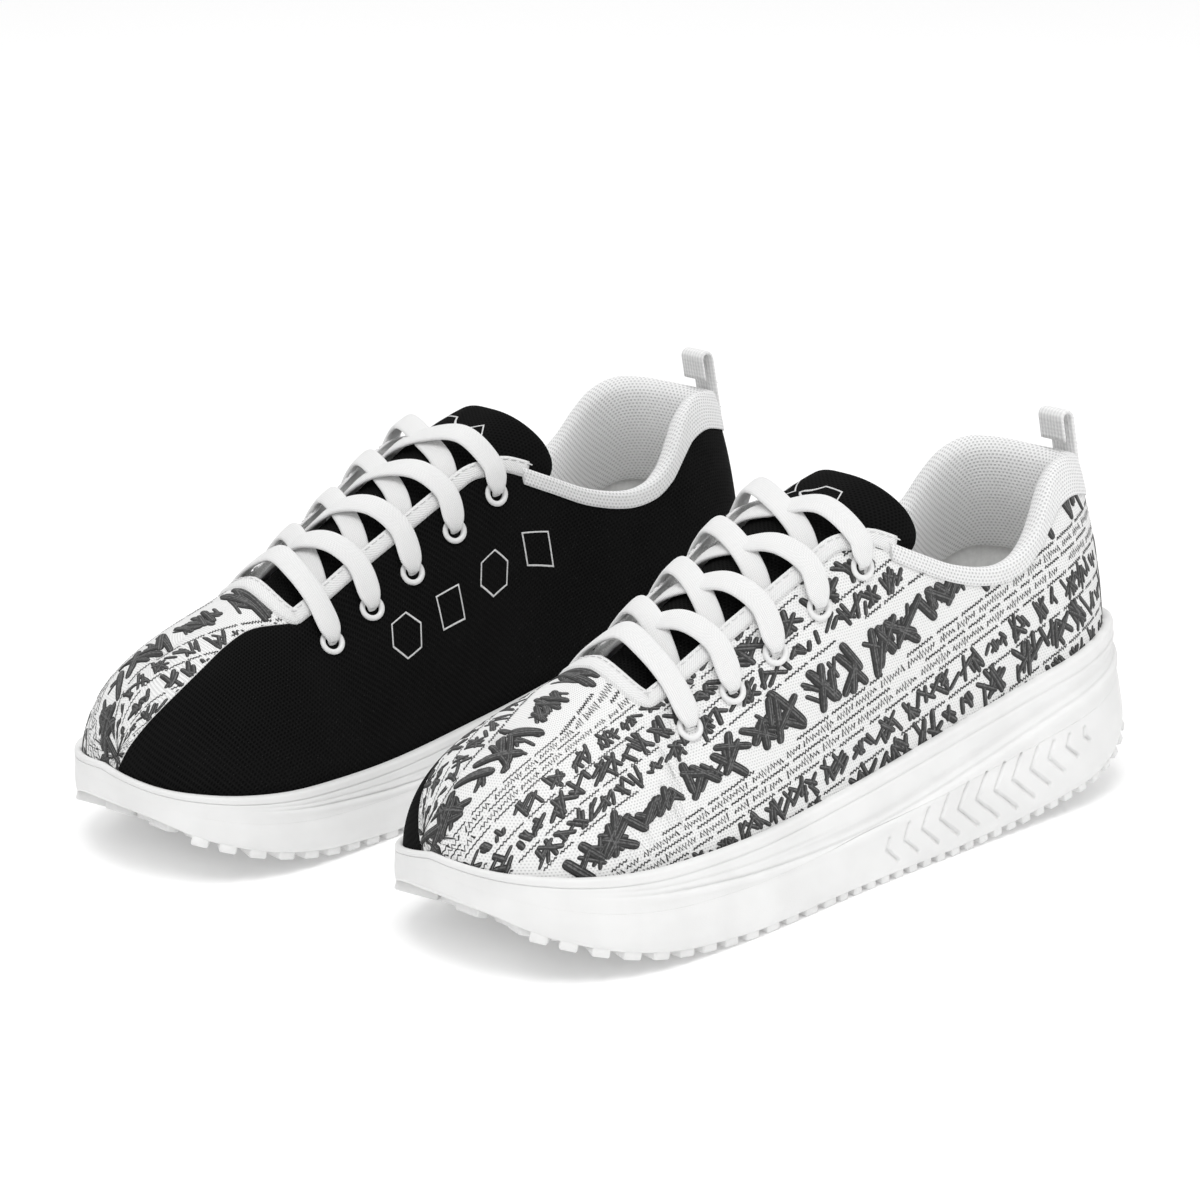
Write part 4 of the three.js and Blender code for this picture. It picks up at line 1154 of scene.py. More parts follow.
# ------------------------------------------------------------------ sole
@dataclass
class Sole:
    """The midsole, the outsole below its crease, and the tread."""

    lug_height: float = 2.6
    crease: float = 0.54
    steps: int = 170
    levels: int = 74
    rim_inside: float = -0.25
    groove_flat: float = 0.18
    groove_side: float = 0.42
    groove_depth: float = 0.75
    groove_span: tuple[float, float, float] = (138, 231, 0.45)
    share: Curve = Curve(
        (0, 0.66), (0.06, 0.9), (0.18, 1.0), (0.4, 0.88), (0.54, 0.6), (0.66, 0.44), (0.82, 0.2), (0.94, 0.05), (1, 0)
    )
    swoosh: Curve = Curve(
        (20, 0.80), (60, 0.74), (90, 0.66), (125, 0.56), (150, 0.56), (185, 0.63), (225, 0.70), (262, 0.72)
    )

    chevrons: int = 12
    chevron_ends: tuple[float, float] = (142.0, 225.0)
    apex: Curve = Curve((142, 10.4), (165, 13.4), (190, 16.4), (225, 23))
    upper_arm: tuple[Curve, Curve] = (
        Curve((142, 1.6), (157, 3.6), (178, 5.5), (195, 4.8), (210, 3.1), (225, 0.8)),
        Curve((142, 3.0), (157, 5.4), (178, 6.9), (195, 6.6), (210, 4.5), (225, 2.2)),
    )
    lower_arm: tuple[Curve, Curve] = (
        Curve((142, 4.2), (164, 6.7), (183, 8.5), (200, 7.3), (217, 4.2), (225, 2.2)),
        Curve((142, -4.2), (164, -6.2), (187, -7.5), (209, -5.7), (225, -1.9)),
    )

    def loop(self, of: Callable[[float, np.ndarray], np.ndarray]) -> np.ndarray:
        """Runs round the shoe: toe tip, lateral side, heel, medial side."""
        t = np.linspace(0, 1, self.steps + 1)
        fine = LAST.station_of(np.arange(*self.groove_span))
        outer = np.sort(np.concatenate([t[(t < fine[0] - 1e-3) | (t > fine[-1] + 1e-3)], fine]))
        return np.vstack([of(LATERAL, outer), of(MEDIAL, t[::-1][1:-1])])

    def grooves(self, x: np.ndarray, z: np.ndarray) -> np.ndarray:
        """Returns how deep the row of chevrons is cut at places of the rear lateral wall, from 0 to 1."""
        nearest = np.full(np.shape(x), 99.0)
        for at in np.linspace(*self.chevron_ends, self.chevrons):
            for arm in (self.upper_arm, self.lower_arm):
                across, along = float(arm[0](at)), float(arm[1](at))
                px, pz = x - at, z - float(self.apex(at))
                share = np.clip((px * across + pz * along) / (across**2 + along**2), 0, 1)
                nearest = np.minimum(nearest, np.hypot(px - share * across, pz - share * along))
        return 1 - ease((nearest - self.groove_flat) / self.groove_side)

    def wall(self, side: float, t: np.ndarray, level: float) -> np.ndarray:
        """Returns the wall's points at a level, 0 at the tread and 1 at the rim."""
        last = LAST
        x = last.station_x(t)
        sides = last.rounding(t) * ease(np.asarray(t) / 0.3)
        grow = last.rim_width(t) + last.FLARE * self.share(level) * sides
        line = self.swoosh(x)
        fade = ease((x - 34) / 40)
        grow = grow - 0.75 * fade * bump(level, line, 0.016)
        grow = grow - 1.0 * fade * ease((x - 80) / 60) * bump(level, line + 0.07, 0.055)
        grow = grow + 0.45 * fade * bump(level, line - 0.06, 0.05)
        grow = grow - 0.4 * bump(level, 0.905, 0.010)
        second = mix(0.83, 0.70, (x - 50) / 90)
        grow = grow - 0.35 * ease((x - 36) / 24) * (1 - ease((x - 100) / 45)) * bump(level, second, 0.013)
        grow = grow - 1.4 * ease((x - 238) / 20) * bump(level, 0.4, 0.35)
        plan = last.grown(side, t, grow)
        low = last.bottom(plan[..., 0]) + self.lug_height - 0.4
        z = mix(low, last.rim_z(side, t), level)
        if side < 0 and level < 0.75:
            plan = last.grown(side, t, grow - self.groove_depth * self.grooves(plan[..., 0], z))
        return np.concatenate([plan, z[..., None]], axis=-1)

    def build(self, shop: Workshop, finishes: Finishes) -> None:
        """Makes the midsole, the outsole and the tread."""
        levels = np.linspace(0, 1, self.levels)
        lower = [k for k in levels if k < self.crease] + [self.crease]
        upper = [self.crease] + [k for k in levels if k > self.crease]
        shop.make("midsole", self.midsole(upper), [finishes.foam], stands_for=["midsole"])
        shop.make("outsole", self.outsole(lower), [finishes.foam], stands_for=["outsole"])
        self.tread(shop, finishes)

    def midsole(self, levels: Sequence[float]) -> Shape:
        """Returns the wall above the crease, the rolled rim and the cup inside it."""
        rings = [self.loop(lambda side, t, k=k: self.wall(side, t, k)) for k in levels]
        for angle in np.radians([25, 50, 75, 100, 125, 150, 180]):
            def roll(side: float, t: np.ndarray, angle: float = float(angle)) -> np.ndarray:
                """Returns the rim's round at one angle."""
                half = (LAST.rim_width(t) - self.rim_inside) / 2
                plan = LAST.grown(side, t, self.rim_inside + half + half * np.cos(angle))
                z = LAST.rim_z(side, t) + 0.9 * np.sin(angle)
                return np.concatenate([plan, z[..., None]], axis=-1)

            rings.append(self.loop(roll))

        def cup(side: float, t: np.ndarray) -> np.ndarray:
            """Returns the cup's floor edge."""
            plan = LAST.grown(side, t, np.full(np.shape(t), self.rim_inside))
            return np.concatenate([plan, LAST.floor_height(plan[..., 0])[..., None]], axis=-1)

        rings.append(self.loop(cup))
        shape = Shape()
        shape.grid(np.array(rings), ring=True)
        shape.cap(rings[0])
        shape.cap(rings[-1])
        return shape

    def outsole(self, levels: Sequence[float]) -> Shape:
        """Returns the wall below the crease, with the heel's chevrons cut into its lateral side, and the underside."""
        rings = [self.loop(lambda side, t, k=k: self.wall(side, t, k)) for k in levels]

        def under(side: float, t: np.ndarray, grow: float) -> np.ndarray:
            """Returns a loop of the underside."""
            plan = LAST.grown(side, t, np.full(np.shape(t), grow))
            low = LAST.bottom(plan[..., 0]) + self.lug_height
            return np.concatenate([plan, low[..., None]], axis=-1)

        edge = [self.loop(lambda side, t, g=g: under(side, t, g)) for g in (-4.0, 1.5)]
        shape = Shape()
        shape.grid(np.array([*edge, *rings]), ring=True)
        shape.cap(edge[0])
        shape.cap(rings[-1])
        return shape

    def edge_run(
        self, side: float, low: float, high: float, inset: float, lift: float
    ) -> tuple[np.ndarray, np.ndarray]:
        """Returns points and outward directions under the sole, along its edge."""
        t = LAST.station_of(np.linspace(low, high, 60))
        sides = LAST.rounding(t) * ease(t / 0.3)
        plan = LAST.grown(side, t, LAST.rim_width(t) + LAST.FLARE * 0.62 * sides - inset)
        x = plan[..., 0]
        points = np.stack([x, plan[..., 1], LAST.bottom(x) + self.lug_height + lift], axis=-1)
        return points, self.downwards(x)

    @staticmethod
    def downwards(x: np.ndarray) -> np.ndarray:
        """Returns the directions out of the underside at places along the shoe."""
        slope = (LAST.bottom(x + 1) - LAST.bottom(x - 1)) / 2
        return unit(np.stack([slope, np.zeros_like(x), -np.ones_like(x)], axis=-1))

    def tread(self, shop: Workshop, finishes: Finishes) -> None:
        """Makes the lugs: a row along each edge, and rows of blocks between them."""
        fore, rear = small_block("fore_lug", (5.2, 13.0, 3.1), 0.45), small_block("rear_lug", (3.5, 13.0, 3.1), 0.4)
        inner = small_block("inner_lug", (4.6, 10.5, 3.0), 0.5)
        edges_fore, edges_rear = [], []
        for side in (LATERAL, MEDIAL):
            edges_fore.append((*self.edge_run(side, 26, 118, 6.3, 0.5), 7.8))
            edges_rear.append((*self.edge_run(side, 124, 250, 6.3, 0.5), 5.7))
        shop.repeat("fore_lugs", edges_fore, fore, finishes.foam, "sole_foam")
        shop.repeat("rear_lugs", edges_rear, rear, finishes.foam, "sole_foam")
        rows = []
        for k, share in enumerate((-0.5, -0.17, 0.17, 0.5)):
            x = np.linspace(30 + 4 * (k % 2), 244 + 4 * (k % 2), 90)
            t = LAST.station_of(x)
            left, right = LAST.outline(LATERAL, t)[..., 1], LAST.outline(MEDIAL, t)[..., 1]
            y = mix(left, right, (share + 1) / 2)
            rows.append((np.stack([x, y, LAST.bottom(x) + self.lug_height + 0.4], axis=-1), self.downwards(x), 8.6))
        shop.repeat("inner_lugs", rows, inner, finishes.foam, "sole_foam")


# ------------------------------------------------------------------ upper
class Cloth:
    """Cloth coordinates over the last: u back along the shoe, and v up over it, in millimetres."""

    def __init__(self) -> None:
        """Measures the last once."""
        self.t = np.linspace(0, 1, 241)
        self.q = np.linspace(0, 2, 241)
        surface = LAST.wrap(self.t[:, None], self.q[None, :])
        steps = np.linalg.norm(np.diff(surface, axis=1), axis=-1)
        self.v = np.hstack([np.zeros((len(self.t), 1)), np.cumsum(steps, axis=1)]) + surface[:, :1, 2]
        side = LAST.point(LATERAL, self.t, np.full(len(self.t), 0.4))
        self.u = np.concatenate([[0.0], np.cumsum(np.linalg.norm(np.diff(side, axis=0), axis=-1))])

    def at(self, t: np.ndarray, q: np.ndarray) -> np.ndarray:
        """Returns the coordinates at stations and levels, as (..., 2)."""
        t, q = np.broadcast_arrays(t, q)
        a, b = np.clip(t, 0, 1) * 240, np.clip(q, 0, 2) * 120
        i, j = np.minimum(a.astype(int), 239), np.minimum(b.astype(int), 239)
        fa, fb = a - i, b - j
        v = (
            self.v[i, j] * (1 - fa) * (1 - fb)
            + self.v[i + 1, j] * fa * (1 - fb)
            + self.v[i, j + 1] * (1 - fa) * fb
            + self.v[i + 1, j + 1] * fa * fb
        )
        return np.stack([np.interp(t, self.t, self.u), v], axis=-1)


def heel_gap(side: float, t: np.ndarray) -> np.ndarray:
    """Returns the sideways shift that keeps the two quarters apart down the heel."""
    return side * 0.2 * ease((np.asarray(t) - 0.6) / 0.3)


@dataclass(frozen=True)
class Row:
    """One row of the print: clusters of slanted strokes, set along a line that climbs towards the heel."""

    level: float
    height: float
    width: float
    pitch: float
    strokes: int
    shift: float


@dataclass
class Print:
    """The print's relief: rows of embossed strokes with thin ragged lines between them, laid on the cloth."""

    ground: Shape
    slope: float = 0.30
    period: float = 61.0
    first: float = 26.0
    fold_from: float = 92.0
    fold_to: float = 82.0
    fold_depth: float = 47.0
    fold_radius: float = 30.0
    along: tuple[float, float] = (-34.0, 306.0)
    blocks: tuple[int, ...] = (-1, 0, 1, 2)
    seed: int = 17
    tick: float = 0.62
    grazing: float = 0.12
    rows: tuple[Row, ...] = (
        Row(-0.3, 13.0, 1.7, 24.0, 8, 0.0),
        Row(0.0, 18.5, 3.1, 24.0, 8, 0.0),
        Row(14.4, 9.0, 1.7, 12.0, 8, 0.3),
        Row(-25.4, 9.0, 1.7, 12.0, 8, 0.6),
        Row(-35.6, 11.5, 2.0, 15.0, 9, 0.2),
    )
    dashes: tuple[float, ...] = (9.4, 19.6, -9.9, -15.0, -20.6, -30.6)
    scribbles: tuple[float, ...] = (-12.4, -17.8)
    wide: tuple[tuple[float, float, str], ...] = (
        (-0.5, -0.1, "ink"), (-0.48, 0.5, "ink"), (-0.37, 0.55, "ink"), (-0.33, 0.85, "grey"), (-0.2, 0.85, "ink"),
        (-0.15, 0.7, "dark"), (-0.08, 1.0, "grey"), (0.08, 1.0, "dark"), (0.15, 0.7, "ink"), (0.2, 0.85, "dark"),
        (0.33, 0.85, "ink"), (0.37, 0.55, "ink"), (0.48, 0.5, "ink"), (0.5, -0.1, ""),
    )
    narrow: tuple[tuple[float, float, str], ...] = (
        (-0.5, -0.1, "ink"), (-0.46, 0.5, "ink"), (-0.26, 0.9, "grey"), (0.0, 1.0, "dark"), (0.26, 0.9, "ink"),
        (0.46, 0.5, "ink"), (0.5, -0.1, ""),
    )

    def __post_init__(self) -> None:
        """Readies the printed cloth for laying the print on it."""
        points, faces = np.vstack(self.ground.points), np.vstack(self.ground.faces)
        self.tree = BVHTree.FromPolygons(points.tolist(), faces.tolist())

    def lay(self, along: np.ndarray, up: np.ndarray, lift: np.ndarray) -> tuple[np.ndarray, np.ndarray]:
        """Lays places of the flat print on the cloth.

        Args:
            along: Distances along the rows.
            up: Distances across the rows, upwards.
            lift: Heights above the cloth.

        Returns:
            The points, and whether each is on the printed cloth.
        """
        lean = math.atan(self.slope)
        u = (along * math.cos(lean) - up * math.sin(lean)).ravel()
        v = (along * math.sin(lean) + up * math.cos(lean)).ravel()
        back = 0.6 * (1 - ease((u - 10) / 80)) - 0.75 * ease((u - 175) / 70)
        fall = -mix(1.15, 0.45, ease((u - 60) / 120))
        way = unit(np.stack([back, np.ones_like(u), fall], axis=-1))
        turned = np.maximum(v - self.fold_from, 0) * (u < self.fold_to)
        start = np.stack([u, np.full_like(u, -38.0), v - turned], axis=-1)
        pivot = start + way * (self.fold_depth / way[:, 1:2])
        angle = turned / self.fold_radius
        over, down = way[:, 1].copy(), way[:, 2].copy()
        way[:, 1] = over * np.cos(angle) + down * np.sin(angle)
        way[:, 2] = down * np.cos(angle) - over * np.sin(angle)
        start = pivot - way * 150
        points, kept = np.zeros((len(u), 3)), np.zeros(len(u), bool)
        for i, (origin, direction, rise) in enumerate(zip(start.tolist(), way.tolist(), lift.ravel().tolist())):
            place, normal, _, _ = self.tree.ray_cast(origin, direction)
            if place is not None:
                away = rise if normal.dot(direction) < 0 else -rise
                points[i] = place + normal * away
                kept[i] = abs(normal.dot(direction)) > self.grazing
        return points.reshape(*along.shape, 3), kept.reshape(along.shape)

    def stroke(self, shapes: dict[str, Shape], start: np.ndarray, end: np.ndarray, width: float, lift: float) -> None:
        """Adds one embossed stroke: a dark edge, ridges and grooves, a lit side and a shaded side.

        Args:
            shapes: Takes the faces.
            start: One end, along and up.
            end: The other end.
            width: The stroke's width.
            lift: The height that it stands above the cloth.
        """
        length = float(np.linalg.norm(end - start))
        count = max(int(length / 1.3), 3)
        run = np.concatenate([[0.0, 0.015, 0.05], np.linspace(0.12, 0.88, count), [0.95, 0.985, 1.0]])
        way = (end - start) / length
        side = np.array([-way[1], way[0]])
        tip = np.sqrt(np.clip(1 - np.abs(2 * run - 1) ** max(2 * length / width, 2.0), 0, 1))
        profile = self.wide if width > 2.4 else self.narrow
        across = np.array([band[0] for band in profile])
        height = np.array([band[1] for band in profile])
        place = start + (end - start) * run[:, None, None] + side * (across[None, :, None] * width * tip[:, None, None])
        rise = lift * np.where(tip[:, None] > 0.05, height[None, :], -0.1)
        points, kept = self.lay(place[..., 0], place[..., 1], rise)
        for k, band in enumerate(profile[:-1]):
            self.patch(shapes[band[2]], points[:, k : k + 2], kept[:, k : k + 2])

    @staticmethod
    def patch(shape: Shape, points: np.ndarray, kept: np.ndarray) -> None:
        """Adds the part of a grid that is on the printed cloth."""
        rows, columns = points.shape[:2]
        index = np.arange(rows * columns).reshape(rows, columns)
        whole = kept[:-1, :-1] & kept[1:, :-1] & kept[1:, 1:] & kept[:-1, 1:]
        quads = np.stack([index[:-1, :-1], index[1:, :-1], index[1:, 1:], index[:-1, 1:]], axis=-1)[whole]
        if len(quads):
            used, packed = np.unique(quads, return_inverse=True)
            shape.add(points.reshape(-1, 3)[used], packed.reshape(quads.shape))

    def ragged(self, shape: Shape, level: float, tall: float, breaks: float, luck: np.random.Generator) -> None:
        """Adds one thin line of short slanted ticks.

        Args:
            shape: Takes the faces.
            level: The line's height across the rows.
            tall: How tall its ticks are.
            breaks: The share of its length that is left out.
            luck: The source of its unevenness.
        """
        place = self.along[0]
        while place < self.along[1]:
            run = luck.uniform(5, 16)
            if luck.uniform() > breaks:
                count = max(int(run / self.tick), 3)
                x = place + np.arange(count) * self.tick
                swell = tall * (0.45 + 0.55 * np.abs(np.sin(x * 0.37 + level)))
                top = swell * luck.uniform(0.25, 0.6, count) * np.where(np.arange(count) % 2, 1, -1)
                line = np.stack([x, level + top], axis=-1)
                way = unit(np.gradient(line, axis=0))
                side = np.stack([-way[:, 1], way[:, 0]], axis=-1)
                grid = line[:, None] + side[:, None] * np.array([-0.31, 0.31])[None, :, None]
                points, kept = self.lay(grid[..., 0], grid[..., 1], np.full(grid.shape[:2], 0.07))
                self.patch(shape, points, kept)
            place += run + luck.uniform(0.4, 1.6)

    def build(self, shop: Workshop, finishes: Finishes) -> None:
        """Makes the print, one piece for each shade."""
        luck = np.random.default_rng(self.seed)
        shapes = {name: Shape() for name in ("ink", "grey", "dark", "lines")}
        for block in self.blocks:
            base = self.first + block * self.period
            for row in self.rows:
                self.clusters(shapes, base + row.level, row, luck)
            for level in self.dashes:
                self.ragged(shapes["lines"], base + level, 1.0, 0.12, luck)
            for level in self.scribbles:
                self.ragged(shapes["lines"], base + level, 2.6, 0.04, luck)
        shades = {"ink": finishes.ink, "grey": finishes.grey, "dark": finishes.dark, "lines": finishes.dark}
        for name, finish in shades.items():
            shop.make(f"print_{name}", shapes[name], [finish])

    def clusters(self, shapes: dict[str, Shape], level: float, row: Row, luck: np.random.Generator) -> None:
        """Adds a row's clusters of strokes, large ones between runs of smaller ones."""
        place = self.along[0] + row.shift * row.pitch
        number = 0
        while place < self.along[1]:
            small = 0.62 if number % 5 == 4 else 1.0
            for _ in range(row.strokes):
                slant = luck.choice([-0.75, -0.3, 0.35, 0.95]) + luck.uniform(-0.16, 0.16)
                half = row.height * small * luck.uniform(0.24, 0.5)
                across = place + luck.uniform(0.12, 0.88) * row.pitch
                upwards = level + luck.uniform(-0.5, 0.5) * (row.height * small - 1.7 * half)
                middle = np.array([across, upwards])
                way = np.array([math.sin(slant), math.cos(slant)]) * half
                width = row.width * luck.uniform(0.85, 1.15)
                self.stroke(shapes, middle - way, middle + way, width, 0.1 * row.width * luck.uniform(0.7, 1.3))
            place += row.pitch
            number += 1


@dataclass
class Upper:
    """The printed side and toe, the black medial quarter, and the outlined shapes on it."""

    cloth: Cloth
    skin: float = 1.3
    columns: int = 150
    rows: int = 64

    def panel(self, shape: Shape, side: float, t: np.ndarray, low: np.ndarray, high: np.ndarray, rows: int) -> None:
        """Adds one side's sheet between two levels at each station."""
        share = np.linspace(0, 1, rows + 1)[None, :]
        h = low[:, None] + (high - low)[:, None] * share
        stations = np.broadcast_to(t[:, None], h.shape)
        points = LAST.point(side, stations, h)
        points[..., 1] += heel_gap(side, stations)
        q = h if side < 0 else 2 - h
        shape.grid(points, self.cloth.at(stations, q))

    def stations(self, low: float, high: float, count: int) -> np.ndarray:
        """Returns stations that fall on the throat's start and round front as well."""
        t = np.linspace(low, high, count + 1)
        bend = LAST.throat_start + LAST.THROAT_BEND * np.array([0, 0.02, 0.06, 0.14, 0.26, 0.42, 0.6, 0.8, 1])
        return np.unique(np.concatenate([t, bend[(bend > low) & (bend < high)]]).round(9))

    def build(self, shop: Workshop, finishes: Finishes) -> None:
        """Makes the sewn pieces of the upper."""
        last = LAST
        shape = Shape()
        t = self.stations(0, 1, self.columns)
        front = t[t <= last.seam_to + 1e-9]
        self.panel(shape, LATERAL, t, np.zeros(len(t)), last.top_edge(LATERAL, t), self.rows)
        seam = np.where(front < last.seam_from, 0.0, last.seam_level(front))
        edge = last.top_edge(MEDIAL, front)
        self.panel(shape, MEDIAL, front, np.minimum(seam, edge), edge, 40)
        printed = shape
        shop.make(
            "printed_upper", shape, [finishes.printed, finishes.backing],
            stands_for=["printed_upper"], thickness=self.skin,
        )
        shape = Shape()
        t = self.stations(last.seam_from, 1, self.columns)
        top = np.where(t <= last.seam_to, last.seam_level(t) - 0.003, last.top_edge(MEDIAL, t))
        self.panel(shape, MEDIAL, t, np.zeros(len(t)), np.maximum(top, 0.004), self.rows)
        shop.make(
            "medial_quarter", shape, [finishes.black, finishes.backing],
            stands_for=["medial_quarter"], thickness=self.skin,
        )
        Print(printed).build(shop, finishes)
        self.outlines(shop, finishes)

    def outlines(self, shop: Workshop, finishes: Finishes) -> None:
        """Makes the thin outlined shapes printed on the black quarter."""
        kite = [(0, -9), (6, 0), (0, 9), (-6, 0)]
        hexagon = [(-5, -4), (0, -8), (5, -4), (5, 4), (0, 8), (-5, 4)]
        shape = Shape()
        places = ((0.426, 0.34, hexagon), (0.472, 0.29, kite), (0.518, 0.255, hexagon), (0.565, 0.24, kite))
        for t, h, corners in places:
            self.outline(shape, lambda a, b, t=t, h=h: self.near(t, h, a, b), corners)
        shop.make("quarter_outlines", shape, [finishes.outline], thickness=0.12)

    def near(self, t: float, h: float, a: np.ndarray, b: np.ndarray) -> np.ndarray:
        """Returns points of the medial side near a station, a back along the shoe and b up it."""
        turn = 0.62
        a, b = a * math.cos(turn) - b * math.sin(turn), a * math.sin(turn) + b * math.cos(turn)
        back = np.linalg.norm(LAST.point(MEDIAL, t + 0.005, h) - LAST.point(MEDIAL, t - 0.005, h)) / 0.01
        up = np.linalg.norm(LAST.point(MEDIAL, t, h + 0.005) - LAST.point(MEDIAL, t, h - 0.005)) / 0.01
        return LAST.point(MEDIAL, t + a / back, h + b / up, -0.18)

    @staticmethod
    def outline(
        shape: Shape,
        place: Callable[[np.ndarray, np.ndarray], np.ndarray],
        corners: Sequence[tuple[float, float]],
        line: float = 0.5,
    ) -> None:
        """Adds a closed outline of even width, laid on a surface.

        Args:
            shape: Takes the strip.
            place: Gives the surface's points from flat coordinates.
            corners: The outline's corners, flat, in order.
            line: The line's width.
        """
        flat = np.array(corners, float)
        count = len(flat)
        sides = unit(np.roll(flat, -1, axis=0) - flat)
        normals = np.stack([sides[:, 1], -sides[:, 0]], axis=-1)
        mitre = normals + np.roll(normals, 1, axis=0)
        mitre = mitre / np.maximum((mitre * normals).sum(-1, keepdims=True), 0.3)
        steps = 8
        k = np.arange(count * steps) / steps
        i = k.astype(int) % count
        j = (i + 1) % count
        share = (k - k.astype(int))[:, None]
        rows = []
        for offset in (-line / 2, line / 2):
            edge = flat + mitre * offset
            run = edge[i] * (1 - share) + edge[j] * share
            rows.append(place(run[:, 0], run[:, 1]))
        shape.grid(np.array(rows), ring=True)


# ------------------------------------------------------------------ collar, tongue, footbed
@dataclass
class Collar:
    """The padded collar, which rolls from a lip outside the upper over its edge and down inside."""

    steps: int = 96
    lip: Curve = Curve((161, 3), (205, 3.2), (225, 5), (245, 9), (265, 11))

    def section(self, x: float, pad: float, drop: float) -> list[tuple[float, float]]:
        """Returns the section's corners, as height above the upper's edge and depth inwards."""
        lip = float(self.lip(x))
        inner = mix(2.2, 4.0, pad)
        return [
            (-lip, -0.15), (-lip, -0.8), (-lip * 0.5, -1.25), (0.6, -1.5), (2.4, -0.5),
            (mix(2.6, 3.5, pad), mix(1.0, 2.2, pad)), (mix(2.0, 2.6, pad), mix(3.0, 5.2, pad)),
            (-2.5, mix(4.1, 7.6, pad)), (-drop * 0.35, mix(4.5, 8.5, pad)), (-drop * 0.7, mix(4.3, 7.6, pad)),
            (-drop, inner + 1.5), (-drop, inner), (-drop * 0.5, inner), (-2, inner), (0.4, inner - 1.2), (0.4, 0.2),
        ]

    def build(self, shop: Workshop, finishes: Finishes) -> None:
        """Makes the collar."""
        last = LAST
        t = np.linspace(last.collar_from, 1, self.steps + 1)
        rings = []
        for side in (LATERAL, MEDIAL):
            edge = last.top_edge(side, t)
            top = last.point(side, t, edge)
            rise = np.linalg.norm(top - last.point(side, t, edge - 0.05), axis=-1) / 0.05
            x = last.station_x(t)
            made = []
            for k in range(len(t)):
                pad = float(ease((x[k] - 165) / 30))
                drop = float(mix(9, 30, ease((t[k] - last.collar_from) / 0.16)))
                section = np.array(self.section(x[k], pad, drop))
                level = np.where(
                    section[:, 0] < 0,
                    last.level_at(side, t[k], top[k, 2] + section[:, 0]),
                    edge[k] + section[:, 0] / rise[k],
                )
                ring = last.point(side, t[k], level, section[:, 1])
                ring[:, 1] += heel_gap(side, t[k])
                made.append(ring)
            rings += made if side < 0 else made[::-1][1:]
        rings = closed_spline(np.array(rings), 4)
        shape = Shape()
        along = np.concatenate([[0], np.cumsum(np.linalg.norm(np.diff(rings[:, 24], axis=0), axis=-1))])
        around = np.cumsum(np.linalg.norm(np.diff(rings, axis=1, prepend=rings[:, :1]), axis=-1), axis=1)
        uv = np.stack([np.broadcast_to(along[:, None], around.shape), around], axis=-1)
        shape.tube(rings, uv)
        shop.make(
            "collar", shape, [finishes.lining], stands_for=["collar_lining"],
        )


@dataclass
class Tongue:
    """The padded tongue, stitched under the vamp, with its wide rounded top standing out of the throat."""

    root: float = 66.0
    top: float = 170.0
    depth: float = 5.4
    thickness: float = 4.8
    reach: Curve = Curve((66, 0.3), (90, 0.46), (130, 0.52), (150, 0.55), (180, 0.56))

    def point(self, x: np.ndarray, v: np.ndarray, depth: np.ndarray | float) -> np.ndarray:
        """Returns the tongue's points: x along it and v across it, from -1 to 1, a depth below the upper's face."""
        away = 16 * (1 - np.sqrt(np.maximum(1 - v**6, 0))) * ease((x - 120) / 45)
        trail = 17 * v * v * ease((x - 125) / 40)
        lift = 1.2 * (1 - v * v) * ease((x - 145) / 20)
        return LAST.wrap(LAST.station_of(x + trail - away), 1 + v * self.reach(x), depth - lift)

    def build(self, shop: Workshop, finishes: Finishes, upper: Upper) -> None:
        """Makes the tongue and the outlined shape on it."""
        k = np.linspace(0, 1, 64)[:, None]
        v = np.sin(np.linspace(-1, 1, 65) * np.pi / 2)[None, :]
        x = mix(self.root, self.top, 1 - (1 - k) ** 1.25)
        x, v = np.broadcast_arrays(x, v)
        end = np.clip((self.top - x) / 4.5, 0, 1)
        puff = np.sqrt(1 - (1 - end) ** 2) * np.sqrt(np.maximum(1 - np.abs(v) ** 10, 0))
        half = self.thickness / 2 * puff
        middle = self.depth + self.thickness / 2
        quilt = 0.35 * ease((x - 96) / 10) * bump(np.abs(v), 0.8, 0.05) * puff
        outer, inner = self.point(x, v, middle - half + quilt), self.point(x, v, middle + half)
        uv = upper.cloth.at(LAST.station_of(x), 1 + v * self.reach(x))
        shape = Shape()
        shape.grid(outer, uv)
        shape.grid(inner, uv, paint=1)
        for k in (0, -1):
            shape.grid(np.array([outer[k], inner[k]]))
        for k in (0, -1):
            shape.grid(np.array([outer[:, k], inner[:, k]]))
        shop.make(
            "tongue", shape, [finishes.black, finishes.lining], Part.TONGUE, ["tongue"],
        )
        shape = Shape()

        def near(a: np.ndarray, b: np.ndarray) -> np.ndarray:
            """Returns points on the tongue's face near its top."""
            return self.point(154 + np.asarray(a), np.asarray(b) / 42 + 0.02, self.depth - 0.16)

        Upper.outline(shape, near, [(-5, -10), (0, -13), (5, -10), (5, -3), (0, 0), (-5, -3)])
        Upper.outline(shape, near, [(0, 2), (5, 8), (0, 14), (-5, 8)])
        shop.make("tongue_outlines", shape, [finishes.outline], Part.TONGUE, thickness=0.12)


